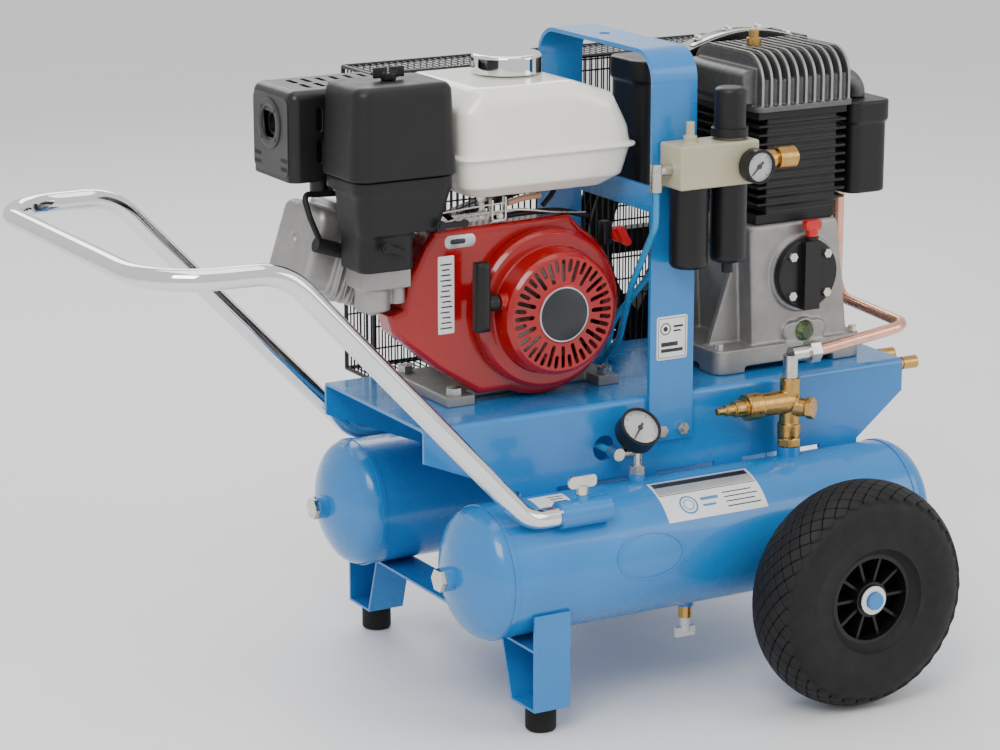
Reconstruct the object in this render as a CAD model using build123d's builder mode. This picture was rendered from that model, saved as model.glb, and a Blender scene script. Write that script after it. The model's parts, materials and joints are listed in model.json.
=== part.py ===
from build123d import *
import os
from math import asin, cos, degrees, pi, radians, sin

# Wheelbarrow air compressor: a petrol engine drives a twin-cylinder pump by two
# belts, both standing on a folded tray over two air tanks with wheels and a handle.
# Millimetres.  +X points to the wheels, -Y is the side with the recoil starter and
# the gauges, +Z is up.  Z = 0 is the ground.

# ---------------------------------------------------------------- driving sizes
LENGTH = 1079.0            # handle bar to the tips of the air outlets
X_END = LENGTH / 2
WIDTH = 700.0              # over the two axle ends
HEIGHT = 756.0             # ground to the top of the lifting hoop

TYRE_D, TYRE_W = 270.0, 87.0
AXLE_X, AXLE_Z, AXLE_R = 309.5, TYRE_D / 2, 10.0
WHEEL_Y = 311.0

TANK_R, TANK_WALL = 77.5, 3.0
TANK_Y, TANK_Z = 159.5, 183.0
TANK_X0, TANK_X1, TANK_DOME = -146.0, 497.0, 44.0

TRAY_X0, TRAY_X1, TRAY_HALF = -160.0, 506.0, 125.0
TRAY_Z, TRAY_T = 350.0, 4.0

SOCKET_Y, SOCKET_Z = 215.0, 255.0
TUBE_R, TUBE_WALL = 12.0, 1.8

HOOP_X0, HOOP_X1, HOOP_T, HOOP_GAP = 136.0, 196.0, 5.0, 0.3

ENGINE_X, ENGINE_Z = 32.0, 458.0       # engine crank axis, parallel to Y
CYLINDER_TILT = 18.0                   # cylinder above the horizontal
ENGINE_BORE, ENGINE_STROKE = 77.0, 58.0
CYLINDER_Y = 32.0
HEAD_D, COVER_D, COVER_END = 222.0, 256.0, 290.0   # distances from the crank axis

PUMP_X, PUMP_Z = 382.0, 464.0          # pump crank axis, parallel to Y
PUMP_BORE, PUMP_STROKE = 54.0, 46.0
PUMP_YS = (-42.0, 22.0)                # the two cylinders
DECK_Z, HEAD_Z = 527.0, 663.0          # crankcase top, cylinder top

FLYWHEEL_R, PULLEY_R = 150.0, 62.0
BELT_H, BELT_W = 9.0, 11.0
BELT_YS = (177.5, 192.5)
SHAFT_R = 15.0
FIT = 0.05                             # radial clearance of a running fit

GUARD_X0, GUARD_X1, GUARD_Z0, GUARD_Z1 = -88.0, X_END, 278.0, 713.0
GUARD_STEP_X, GUARD_STEP_Z = 150.0, 334.0     # the engine end stops higher
GUARD_Y0, GUARD_Y1, GUARD_T = 138.0, 216.0, 3.0


# ---------------------------------------------------------------- helpers
def facing_front(y):
    """Plane across the machine at y: local x is X, local y is Z, outward is -Y."""
    return Plane(origin=(0, y, 0), x_dir=(1, 0, 0), z_dir=(0, -1, 0))


def facing_right(x):
    """Plane along the machine at x: local x is Y, local y is Z, outward is +X."""
    return Plane(origin=(x, 0, 0), x_dir=(0, 1, 0), z_dir=(1, 0, 0))


def block(x0, x1, y0, y1, z0, z1, mode=Mode.ADD):
    """Box between two corners, in the open part."""
    with Locations(((x0 + x1) / 2, (y0 + y1) / 2, (z0 + z1) / 2)):
        return Box(abs(x1 - x0), abs(y1 - y0), abs(z1 - z0), mode=mode)


def rod_x(x0, x1, y, z, r, mode=Mode.ADD):
    with Locations(Location(((x0 + x1) / 2, y, z), (0, 90, 0))):
        return Cylinder(r, abs(x1 - x0), mode=mode)


def rod_y(x, y0, y1, z, r, mode=Mode.ADD):
    with Locations(Location((x, (y0 + y1) / 2, z), (90, 0, 0))):
        return Cylinder(r, abs(y1 - y0), mode=mode)


def rod_z(x, y, z0, z1, r, mode=Mode.ADD):
    with Locations((x, y, (z0 + z1) / 2)):
        return Cylinder(r, abs(z1 - z0), mode=mode)


def hexagon(plane, across, height):
    """Hexagonal bar on a plane, sized across its flats."""
    with BuildSketch(plane) as bar:
        RegularPolygon(across / 2, 6, major_radius=False)
    extrude(bar.sketch, amount=height)


def rounded_block(x0, x1, y0, y1, z0, z1, radius, edges="all"):
    """Box with its edges rounded: all of them, or the upright ones and the top."""
    box = block(x0, x1, y0, y1, z0, z1)
    if edges == "top":
        chosen = box.edges().filter_by(Axis.Z) + box.edges().group_by(Axis.Z)[-1]
    else:
        chosen = box.edges()
    fillet(chosen, radius)


def pipe(points, radii, r, wall=0.0):
    """Round tube along straight runs joined by tangent arcs."""
    with BuildLine() as route:
        FilletPolyline(*points, radius=radii)
    line = route.wires()[0]
    with BuildSketch(Plane(origin=line @ 0, z_dir=line % 0)) as section:
        Circle(r)
        if wall:
            Circle(r - wall, mode=Mode.SUBTRACT)
    sweep(section.sketch, path=line)
    area = pi * (r * r - (r - wall) ** 2 if wall else r * r)
    return line.length * area


def save(name, builder):
    builder.part.label = name
    export_step(builder.part, "parts/" + name + ".step")


os.makedirs("parts", exist_ok=True)


# ---------------------------------------------------------------- tanks
BOSS_TIP = TANK_X0 - 11
GAUGE_X, GAUGE_Y = 106.0, -152.0
VALVE_X, VALVE_Y = 320.0, -152.0
DRAIN_X = 171.0
HOSE_Z = 296.0


KNUCKLE_R = 28.0
CROWN_R = ((TANK_R - KNUCKLE_R) ** 2 - KNUCKLE_R**2 + TANK_DOME**2) / (2 * (TANK_DOME - KNUCKLE_R))
CROWN_ANGLE = degrees(asin((TANK_R - KNUCKLE_R) / (CROWN_R - KNUCKLE_R)))


def tank_outline(inset):
    """Half section of a tank with dished ends, above its axis."""
    crown, knuckle, r = CROWN_R - inset, KNUCKLE_R - inset, TANK_R - inset
    left, right = TANK_X0 + TANK_DOME, TANK_X1 - TANK_DOME
    bend = 90 - CROWN_ANGLE
    with BuildLine() as outline:
        CenterArc((TANK_X0 + CROWN_R, 0), crown, 180, -CROWN_ANGLE)
        CenterArc((left, TANK_R - KNUCKLE_R), knuckle, 180 - CROWN_ANGLE, -bend)
        Line((left, r), (right, r))
        CenterArc((right, TANK_R - KNUCKLE_R), knuckle, 90, -bend)
        CenterArc((TANK_X1 - CROWN_R, 0), crown, CROWN_ANGLE, -CROWN_ANGLE)
        Line((TANK_X0 + inset, 0), (TANK_X1 - inset, 0))
    make_face(outline.edges())


def make_tank(side):
    """Air tank with its welded end bosses, axle stub, handle socket and ports."""
    axis = Axis((0, side * TANK_Y, TANK_Z), (1, 0, 0))
    middle = Plane(origin=(0, side * TANK_Y, TANK_Z), x_dir=(1, 0, 0), z_dir=(0, -1, 0))
    with BuildPart() as tank:
        with BuildSketch(middle):
            tank_outline(0)
        revolve(axis=axis)
        rod_x(BOSS_TIP, TANK_X0 + 20, side * TANK_Y, TANK_Z, 14)
        # weld seams where the domed ends meet the barrel
        for x in (TANK_X0 + TANK_DOME, TANK_X1 - TANK_DOME):
            rod_x(x - 3, x + 3, side * TANK_Y, TANK_Z, TANK_R + 1)
        # axle stub on its saddle plate
        block(AXLE_X - 45, AXLE_X + 45, side * 228, side * 246, 105, 196)
        rod_y(AXLE_X, side * 240, side * 280, AXLE_Z, AXLE_R + 5)
        rod_y(AXLE_X, side * 240, side * WIDTH / 2, AXLE_Z, AXLE_R)
        # handle socket with the boss of its clamp screw
        rod_x(-38, 28, side * SOCKET_Y, SOCKET_Z, TUBE_R + 3.6)
        rod_z(-6, side * SOCKET_Y, SOCKET_Z + 12, SOCKET_Z + 21, 8)
        # drain port underneath
        rod_z(DRAIN_X, side * TANK_Y, TANK_Z - TANK_R - 7, TANK_Z - TANK_R + 8, 10)
        if side < 0:
            rod_z(GAUGE_X, GAUGE_Y, 240, 268, 10)
            rod_z(VALVE_X, VALVE_Y, 240, 272, 14)
        with BuildSketch(middle):
            tank_outline(TANK_WALL)
        revolve(axis=axis, mode=Mode.SUBTRACT)
        rod_x(-39, 29, side * SOCKET_Y, SOCKET_Z, TUBE_R + FIT, Mode.SUBTRACT)
        rod_z(-6, side * SOCKET_Y, SOCKET_Z + 5, SOCKET_Z + 22, 4 + FIT, Mode.SUBTRACT)
        rod_x(BOSS_TIP - 1, TANK_X0 + 20, side * TANK_Y, TANK_Z, 8, Mode.SUBTRACT)
    return tank


save("tank_left", make_tank(-1))
save("tank_right", make_tank(1))

# ---------------------------------------------------------------- tray
# Folded sheet, an upside-down U whose sides stand on the tanks with short tabs.
TRAY_FOOT_X0, TRAY_FOOT_X1 = -34.0, 440.0
TRAY_HEM, TRAY_FOOT_Z = 40.0, 258.0
TAB_Z = 252.8
TABS = ((-34.0, 14.0), (110.0, 150.0), (232.0, 272.0), (384.0, 440.0))
HOLE_X, HOLE_Y = 171.0, 38.0
FLANGE_HOLE_X = 78.0

with BuildPart() as tray:
    block(TRAY_X0, TRAY_X1, -TRAY_HALF, TRAY_HALF, TAB_Z, TRAY_Z)
    top_edges = tray.edges().filter_by(Axis.X).group_by(Axis.Z)[-1]
    fillet(top_edges, 7)
    with BuildSketch(facing_right(TRAY_X0)):
        with Locations((0, (TAB_Z - 1 + TRAY_Z - TRAY_T) / 2)):
            inner = Rectangle(2 * (TRAY_HALF - TRAY_T), TRAY_Z - TRAY_T - TAB_Z + 1)
        fillet(inner.vertices().group_by(Axis.Y)[-1], 4)
    extrude(amount=TRAY_X1 - TRAY_X0, mode=Mode.SUBTRACT)
    # sloping ends of the two sides
    with BuildSketch(facing_front(TRAY_HALF + 1)):
        with BuildLine():
            Polyline(
                (TRAY_X0 - 1, TAB_Z - 1),
                (TRAY_X0 - 1, TRAY_Z - TRAY_HEM),
                (TRAY_X0, TRAY_Z - TRAY_HEM),
                (TRAY_FOOT_X0, TRAY_FOOT_Z),
                (TRAY_FOOT_X0, TAB_Z - 1),
                close=True,
            )
        make_face()
        with BuildLine():
            Polyline(
                (TRAY_X1 + 1, TAB_Z - 1),
                (TRAY_X1 + 1, TRAY_Z - TRAY_HEM),
                (TRAY_X1, TRAY_Z - TRAY_HEM),
                (TRAY_FOOT_X1, TRAY_FOOT_Z),
                (TRAY_FOOT_X1, TAB_Z - 1),
                close=True,
            )
        make_face()
        # gaps between the tabs
        for left, right in zip(TABS[:-1], TABS[1:]):
            with Locations(((left[1] + right[0]) / 2, (TAB_Z + TRAY_FOOT_Z) / 2 - 1)):
                Rectangle(right[0] - left[1], TRAY_FOOT_Z - TAB_Z + 2)
    extrude(amount=2 * TRAY_HALF + 2, mode=Mode.SUBTRACT)
    rod_z(HOLE_X, HOLE_Y, TRAY_Z - 9, TRAY_Z + 1, 19, Mode.SUBTRACT)
    rod_y(FLANGE_HOLE_X, -TRAY_HALF - 1, -TRAY_HALF + 9, HOSE_Z, 15, Mode.SUBTRACT)
save("tray", tray)

# ---------------------------------------------------------------- legs and feet
# One weldment: a flat strip under both tanks and an open channel at each end.
LEG_X0, LEG_X1, LEG_T = -77.0, -30.0, 3.0
LEG_OUT, LEG_IN_LOW, LEG_IN_TOP = 231.0, 177.0, 155.0
STRIP_Z0, STRIP_Z1, FOOT_H = 102.0, 105.0, 31.0

with BuildPart() as leg_frame:
    block(LEG_X0, LEG_X1, -LEG_OUT, LEG_OUT, STRIP_Z0, STRIP_Z1)
    with BuildSketch(facing_right(LEG_X0)):
        for s in (-1, 1):
            with BuildLine():
                Polyline(
                    (s * LEG_OUT, FOOT_H),
                    (s * LEG_IN_LOW, FOOT_H),
                    (s * LEG_IN_TOP, STRIP_Z0),
                    (s * LEG_OUT, STRIP_Z0),
                    close=True,
                )
            make_face()
    extrude(amount=LEG_X1 - LEG_X0)
    with BuildSketch(facing_right(LEG_X0)):
        for s in (-1, 1):
            with BuildLine():
                Polyline(
                    (s * (LEG_OUT - LEG_T), FOOT_H + LEG_T),
                    (s * (LEG_IN_LOW + LEG_T), FOOT_H + LEG_T),
                    (s * (LEG_IN_TOP + LEG_T), STRIP_Z0),
                    (s * (LEG_OUT - LEG_T), STRIP_Z0),
                    close=True,
                )
            make_face()
    extrude(amount=LEG_X1 - LEG_X0 - LEG_T, mode=Mode.SUBTRACT)
    for s in (-1, 1):
        block(LEG_X0, LEG_X1, s * (LEG_OUT - LEG_T), s * LEG_OUT, STRIP_Z0, 146)
save("leg_frame", leg_frame)

FOOT_X, FOOT_Y, FOOT_R = -53.0, 204.0, 18.0
with BuildPart() as feet:
    for s in (-1, 1):
        foot = rod_z(FOOT_X, s * FOOT_Y, 0, FOOT_H, FOOT_R)
        fillet(foot.edges().group_by(Axis.Z)[0], 4)
save("feet", feet)

# ---------------------------------------------------------------- wheels
RIM_R, RIM_W, HUB_R, SPOKES = 54.0, 60.0, 21.0, 10


def make_tyre(side):
    y = side * WHEEL_Y
    half = TYRE_W / 2
    with BuildPart() as tyre:
        with BuildSketch(Plane(origin=(AXLE_X, y, AXLE_Z), x_dir=(0, 1, 0), z_dir=(1, 0, 0))):
            with BuildLine():
                Polyline((-30, RIM_R), (-half + 3, 72), (-half, 98), (-half + 8, 122))
                ThreePointArc((-half + 8, 122), (0, TYRE_D / 2), (half - 8, 122))
                Polyline((half - 8, 122), (half, 98), (half - 3, 72), (30, RIM_R))
                Line((30, RIM_R), (-30, RIM_R))
            make_face()
        revolve(axis=Axis((AXLE_X, y, AXLE_Z), (0, 1, 0)))
    return tyre


def make_rim(side):
    y = side * WHEEL_Y
    with BuildPart() as rim:
        rod_y(AXLE_X, y - RIM_W / 2, y + RIM_W / 2, AXLE_Z, RIM_R - 0.05)
        rod_y(AXLE_X, y - RIM_W / 2, y + RIM_W / 2, AXLE_Z, RIM_R - 5, Mode.SUBTRACT)
        rod_y(AXLE_X, y - 2, y + 2, AXLE_Z, RIM_R - 2)
        rod_y(AXLE_X, y - RIM_W / 2, y + RIM_W / 2, AXLE_Z, HUB_R)
        with BuildSketch(facing_front(y + 24)):
            with Locations((AXLE_X, AXLE_Z)):
                with PolarLocations(RIM_R / 2 + 8, SPOKES):
                    Rectangle(RIM_R - HUB_R, 3.5)
        extrude(amount=48)
        rod_y(AXLE_X, y - 40, y + 40, AXLE_Z, AXLE_R + FIT, Mode.SUBTRACT)
    return rim


save("tyre_left", make_tyre(-1))
save("tyre_right", make_tyre(1))
save("rim_left", make_rim(-1))
save("rim_right", make_rim(1))

# ---------------------------------------------------------------- handle
BAR_X = -X_END + TUBE_R
LOW_X, TOP_X, TOP_Z, BAR_Z = -76.0, -380.0, 577.0, 579.0
TOP_HALF, BAR_HALF = 231.0, 227.0

with BuildPart() as handle:
    grip_route = [
        (22, -SOCKET_Y, SOCKET_Z),
        (LOW_X, -SOCKET_Y, SOCKET_Z),
        (TOP_X, -TOP_HALF, TOP_Z),
        (BAR_X, -BAR_HALF, BAR_Z),
        (BAR_X, BAR_HALF, BAR_Z),
        (TOP_X, TOP_HALF, TOP_Z),
        (LOW_X, SOCKET_Y, SOCKET_Z),
        (22, SOCKET_Y, SOCKET_Z),
    ]
    expected = pipe(grip_route, [45, 75, 78, 78, 75, 45], TUBE_R, TUBE_WALL)
print("handle volume / section x length:", round(handle.part.volume / expected, 4))
save("handle", handle)


def make_wing_screw(side):
    """Clamp screw of a handle socket."""
    x, y, z = -6.0, side * SOCKET_Y, SOCKET_Z + TUBE_R + 0.4
    with BuildPart() as screw:
        rod_z(x, y, z, SOCKET_Z + 30, 4)
        rod_z(x, y, SOCKET_Z + 21.4, SOCKET_Z + 31, 7)
        with BuildSketch(facing_front(y + 2)):
            with Locations((x, SOCKET_Z + 36)):
                wing = Rectangle(36, 14)
            fillet(wing.vertices(), 5)
        extrude(amount=4)
    return screw


save("wing_screw_left", make_wing_screw(-1))
save("wing_screw_right", make_wing_screw(1))

# ---------------------------------------------------------------- lifting hoop
HOOP_IN, HOOP_Z0 = TRAY_HALF + HOOP_GAP, 295.0
HOOP_CORNER, BRACE_Z0, BRACE_Z1 = 36.0, 570.0, 600.0
HOOP_BOLTS = ((152.0, 308.0), (181.0, 308.0))

with BuildPart() as hoop_strip:
    with BuildSketch(facing_right(HOOP_X0)):
        with Locations((0, (HOOP_Z0 + HEIGHT) / 2)):
            outer = Rectangle(2 * (HOOP_IN + HOOP_T), HEIGHT - HOOP_Z0)
        fillet(outer.vertices().group_by(Axis.Y)[-1], HOOP_CORNER)
        with BuildSketch(mode=Mode.SUBTRACT):
            with Locations((0, (HOOP_Z0 + HEIGHT) / 2 - HOOP_T)):
                gap = Rectangle(2 * HOOP_IN, HEIGHT - HOOP_Z0)
            fillet(gap.vertices().group_by(Axis.Y)[-1], HOOP_CORNER - HOOP_T)
    extrude(amount=HOOP_X1 - HOOP_X0)
    rod_z((HOOP_X0 + HOOP_X1) / 2, 25, HEIGHT - 10, HEIGHT + 1, 7, Mode.SUBTRACT)
    # two uprights, two bends and a top, welded end to end
    split(bisect_by=Plane.XY.offset(HEIGHT - HOOP_CORNER), keep=Keep.BOTH)
    for side in (-1, 1):
        weld = side * (HOOP_IN + HOOP_T - HOOP_CORNER)
        split(bisect_by=Plane(origin=(0, weld, 0), z_dir=(0, 1, 0)), keep=Keep.BOTH)
with BuildPart() as hoop_brace:
    block(HOOP_X0, HOOP_X0 + 4, -HOOP_IN, HOOP_IN, BRACE_Z0, BRACE_Z1)
hoop = Compound(label="hoop", children=[*hoop_strip.solids(), *hoop_brace.solids()])
export_step(hoop, "parts/hoop.step")

# ---------------------------------------------------------------- engine block
UP = radians(CYLINDER_TILT)
ALONG = (-cos(UP), 0, sin(UP))


def on_cylinder(distance):
    """Plane square to the cylinder, this far from the crank axis; local x is Y."""
    origin = (ENGINE_X - distance * cos(UP), CYLINDER_Y, ENGINE_Z + distance * sin(UP))
    return Plane(origin=origin, x_dir=(0, 1, 0), z_dir=ALONG)


with BuildPart() as engine_block:
    case = block(-46, 116, -27, 92, 358, 542)
    fillet(case.edges().filter_by(Axis.Y), 26)
    block(-92, 140, -27, 88, TRAY_Z, 362)
    for x0, x1 in ((-92, -56), (112, 140)):
        block(x0, x1, -56, -20, TRAY_Z, 362)
    for x in (-30, 60, 96):
        block(x - 3, x + 3, -27, 84, 360, 380)
    with BuildSketch(on_cylinder(50)):
        Rectangle(92, 88)
    extrude(amount=HEAD_D - 50)
    for i in range(11):
        with BuildSketch(on_cylinder(100 + 11.6 * i)):
            fin = Rectangle(114, 108)
            fillet(fin.vertices(), 8)
        extrude(amount=3)
    rod_y(ENGINE_X, -12, 76, ENGINE_Z, 58, Mode.SUBTRACT)
    rod_y(ENGINE_X, -60, 120, ENGINE_Z, SHAFT_R + FIT, Mode.SUBTRACT)
    with BuildSketch(on_cylinder(20)):
        Circle(ENGINE_BORE / 2)
    extrude(amount=HEAD_D - 20, mode=Mode.SUBTRACT)
save("engine_block", engine_block)

with BuildPart() as engine_head:
    with BuildSketch(on_cylinder(HEAD_D)):
        head_plate = Rectangle(108, 100)
        fillet(head_plate.vertices(), 10)
    extrude(amount=COVER_D - HEAD_D - 2)
    for i in range(3):
        with BuildSketch(on_cylinder(HEAD_D + 4 + 11 * i)):
            fin = Rectangle(118, 108)
            fillet(fin.vertices(), 8)
        extrude(amount=3)
    with BuildSketch(on_cylinder(COVER_D - 2)):
        lid = Rectangle(96, 92)
        fillet(lid.vertices(), 14)
    extrude(amount=COVER_END - COVER_D + 2)
    fillet(engine_head.faces().sort_by(Axis(on_cylinder(0).origin, ALONG))[-1].edges(), 10)
    with BuildSketch(on_cylinder(COVER_END - 1)):
        Circle(9)
    extrude(amount=5)
save("engine_head", engine_head)

# crankshaft, flywheel with its fan, and the belt pulley: three pieces, one shaft
CRANK_THROW = ENGINE_STROKE / 2


def grooved_wheel(x, z, radius, y0, y1):
    """Disc with a groove for each belt, in the open part."""
    rod_y(x, y0, y1, z, radius)
    for y in BELT_YS:
        base = radius - BELT_H - 3
        half = BELT_W / 2 + 0.6
        with BuildSketch(Plane(origin=(x, y, z), x_dir=(0, 1, 0), z_dir=(1, 0, 0))) as groove:
            with BuildLine():
                Polyline(
                    (-half, base), (half, base), (half + 1, radius + 1), (-half - 1, radius + 1),
                    close=True,
                )
            make_face()
        revolve(groove.sketch, axis=Axis((x, y, z), (0, 1, 0)), mode=Mode.SUBTRACT)


with BuildPart() as crank:
    rod_y(ENGINE_X, -96, 14, ENGINE_Z, SHAFT_R)
    rod_y(ENGINE_X, 50, 204, ENGINE_Z, SHAFT_R)
    for y0, y1 in ((8, 20), (44, 56)):
        with BuildSketch(facing_front(y1)):
            with BuildLine():
                Polyline(
                    (ENGINE_X - 20, ENGINE_Z - 46), (ENGINE_X + 20, ENGINE_Z - 46),
                    (ENGINE_X + 17, ENGINE_Z + 46), (ENGINE_X - 17, ENGINE_Z + 46), close=True,
                )
            make_face()
        extrude(amount=y1 - y0)
    rod_y(ENGINE_X, 18, 46, ENGINE_Z + CRANK_THROW, 14)
FAN_PLANE = Plane(origin=(ENGINE_X, -56, ENGINE_Z), x_dir=(1, 0, 0), z_dir=(0, -1, 0))
with BuildPart() as fan:
    rod_y(ENGINE_X, -56, -34, ENGINE_Z, 88)
    with BuildSketch(FAN_PLANE):
        with PolarLocations(66, 16):
            Rectangle(24, 3, rotation=25)
    extrude(amount=14)
    rod_y(ENGINE_X, -86, -56, ENGINE_Z, 32)
    rod_y(ENGINE_X, -87, -33, ENGINE_Z, SHAFT_R, Mode.SUBTRACT)
with BuildPart() as pulley:
    grooved_wheel(ENGINE_X, ENGINE_Z, PULLEY_R, 168, 202)
    rod_y(ENGINE_X, 167, 203, ENGINE_Z, SHAFT_R, Mode.SUBTRACT)
with BuildPart() as engine_crankshaft:
    add(crank.part)
    add(fan.part, mode=Mode.ADD)
    add(pulley.part, mode=Mode.ADD)
save("engine_crankshaft", engine_crankshaft)

with BuildPart() as engine_piston:
    with BuildSketch(on_cylinder(148)):
        Circle(ENGINE_BORE / 2 - 0.08)
    extrude(amount=55)
    with BuildSketch(on_cylinder(147)):
        Circle(ENGINE_BORE / 2 - 5)
    extrude(amount=46, mode=Mode.SUBTRACT)
    with BuildSketch(on_cylinder(92)):
        Rectangle(12, 22)
    extrude(amount=102)
    gudgeon = on_cylinder(172).origin
    rod_y(gudgeon.X, CYLINDER_Y - 34, CYLINDER_Y + 34, gudgeon.Z, 9)
save("engine_piston", engine_piston)

# ---------------------------------------------------------------- fan and recoil covers
SHROUD_Y0, SHROUD_Y1, SHROUD_R = -28.0, -60.0, 112.0
RING_R, RING_Y, GRILLE_R, GRILLE_Y = 94.0, -79.0, 72.0, -108.0


def shroud_outline(grow):
    """Fan housing seen from the front: a disc that runs on over the cylinder."""
    with Locations((ENGINE_X, ENGINE_Z - 2)):
        Circle(SHROUD_R + grow - 8)
    with BuildLine() as outline:
        Polyline(
            (-162 - grow, 446), (-104 - grow, 398 - grow), (-51, 362 - grow), (60, 362 - grow),
            (100, 420), (110, 520), (70 + grow, 562 + grow), (-110, 560 + grow),
            (-121 - grow, 545), (-146 - grow, 500),
            (-150 - grow, 474 + grow), (-169 - 2 * grow, 469 + grow), close=True,
        )
    make_face(outline.edges())


with BuildPart() as fan_cover:
    with BuildSketch(facing_front(SHROUD_Y0)):
        shroud_outline(0)
    extrude(amount=SHROUD_Y0 - SHROUD_Y1)
    fillet(fan_cover.faces().sort_by(Axis.Y)[0].edges(), 7)
    with BuildSketch(facing_front(SHROUD_Y0 + 1)):
        shroud_outline(-3)
    extrude(amount=SHROUD_Y0 - SHROUD_Y1 - 2, mode=Mode.SUBTRACT)
    rod_y(ENGINE_X, SHROUD_Y1 - 5, SHROUD_Y0, ENGINE_Z, 82, Mode.SUBTRACT)
save("fan_cover", fan_cover)

with BuildPart() as recoil_cover:
    with BuildSketch(Plane(origin=(ENGINE_X, 0, ENGINE_Z), x_dir=(1, 0, 0), z_dir=(0, 0, 1))):
        with BuildLine():
            Polyline((0, GRILLE_Y), (GRILLE_R - 5, GRILLE_Y), (GRILLE_R, GRILLE_Y + 5),
                     (GRILLE_R + 3, RING_Y), (RING_R - 5, RING_Y), (RING_R, RING_Y + 5),
                     (RING_R, SHROUD_Y1 - 0.2), (RING_R - 3, SHROUD_Y1 - 0.2),
                     (RING_R - 3, RING_Y + 6), (RING_R - 6, RING_Y + 3), (GRILLE_R, RING_Y + 3),
                     (GRILLE_R - 3, GRILLE_Y + 6), (GRILLE_R - 6, GRILLE_Y + 3),
                     (0, GRILLE_Y + 3), close=True)
        make_face()
    revolve(axis=Axis((ENGINE_X, 0, ENGINE_Z), (0, 1, 0)))
    grille = Plane(origin=(ENGINE_X, GRILLE_Y + 5, ENGINE_Z), x_dir=(1, 0, 0), z_dir=(0, -1, 0))
    with BuildSketch(grille):
        with PolarLocations(51, 20):
            SlotOverall(26, 4.5)
        with PolarLocations(57, 20, start_angle=9):
            SlotOverall(15, 4.5)
    extrude(amount=6, mode=Mode.SUBTRACT)
    rod_y(ENGINE_X, GRILLE_Y - 1.5, GRILLE_Y + 1, ENGINE_Z, 33)
    # eye where the starter rope leaves
    rod_x(ENGINE_X - GRILLE_R - 4, ENGINE_X - 60, -91, 478, 9)
    rod_x(ENGINE_X - GRILLE_R - 5, ENGINE_X - 50, -91, 478, 4, Mode.SUBTRACT)
save("recoil_cover", recoil_cover)

GRIP_X = -66.0
with BuildPart() as recoil_handle:
    grip = block(GRIP_X - 11, GRIP_X + 7, -104.5, -83, 446, 528)
    fillet(grip.edges().filter_by(Axis.X) + grip.edges().filter_by(Axis.Z), 8)
    rod_x(GRIP_X + 5, -46, -91, 478, 10)
    rod_x(-46, -22, -91, 478, 2.5)
save("recoil_handle", recoil_handle)

# ---------------------------------------------------------------- fuel tank
FUEL_X0, FUEL_X1, FUEL_Y0, FUEL_Y1 = -92.0, 134.0, -100.0, 78.0
SEAM_Z0, SEAM_Z1 = 644.0, 648.0
CAP_X, CAP_Y = 18.0, 0.0

with BuildPart() as fuel_tank:
    with BuildSketch(facing_front(FUEL_Y1)):
        with BuildLine():
            Polyline(
                (FUEL_X0, SEAM_Z1 - 1), (FUEL_X0, 700), (FUEL_X0 + 22, 724), (58, 724),
                (FUEL_X1 - 24, 706), (FUEL_X1 - 4, 668), (FUEL_X1, SEAM_Z1 - 1), close=True,
            )
        make_face()
    extrude(amount=FUEL_Y1 - FUEL_Y0)
    fillet(fuel_tank.edges().filter_by(Axis.Y).group_by(Axis.Z)[1:], 12)
    fillet(fuel_tank.edges().filter_by(Axis.Z), 22)
    block(FUEL_X0 - 5, FUEL_X1 + 5, FUEL_Y0 - 5, FUEL_Y1 + 5, SEAM_Z0, SEAM_Z1)
    fillet(fuel_tank.edges().filter_by(Axis.Z).group_by(Axis.Z)[0], 22)
    # lower half: steep walls that turn in to a flat floor
    for z, inset in ((SEAM_Z0, 0), (611, 7), (597, 24)):
        with BuildSketch(Plane.XY.offset(z)):
            with Locations(((FUEL_X0 + FUEL_X1) / 2, (FUEL_Y0 + FUEL_Y1) / 2)):
                size = (FUEL_X1 - FUEL_X0 - 2 * inset, FUEL_Y1 - FUEL_Y0 - 2 * inset)
                RectangleRounded(*size, 22)
    loft(ruled=True)
    rod_z(CAP_X, CAP_Y, 720, 731, 27)
save("fuel_tank", fuel_tank)

with BuildPart() as fuel_cap:
    skirt = rod_z(CAP_X, CAP_Y, 731.4, 748, 41)
    fillet(skirt.edges().group_by(Axis.Z)[-1], 4)
    rod_z(CAP_X, CAP_Y, 726, 731.4, 41)
    rod_z(CAP_X, CAP_Y, 725, 731.4, 27.4, Mode.SUBTRACT)
save("fuel_cap", fuel_cap)

# ---------------------------------------------------------------- carburettor, air cleaner
with BuildPart() as carburettor:
    block(-212, -152, -82, -38, 506, 529.5)
    block(-200, -160, -39, -28, 508, 529.5)
    rod_z(-190, -60, 480, 507, 20)
    rod_z(-190, -60, 474, 481, 6)
    rod_z(-162, -66, 486, 507, 9)
save("carburettor", carburettor)

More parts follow.
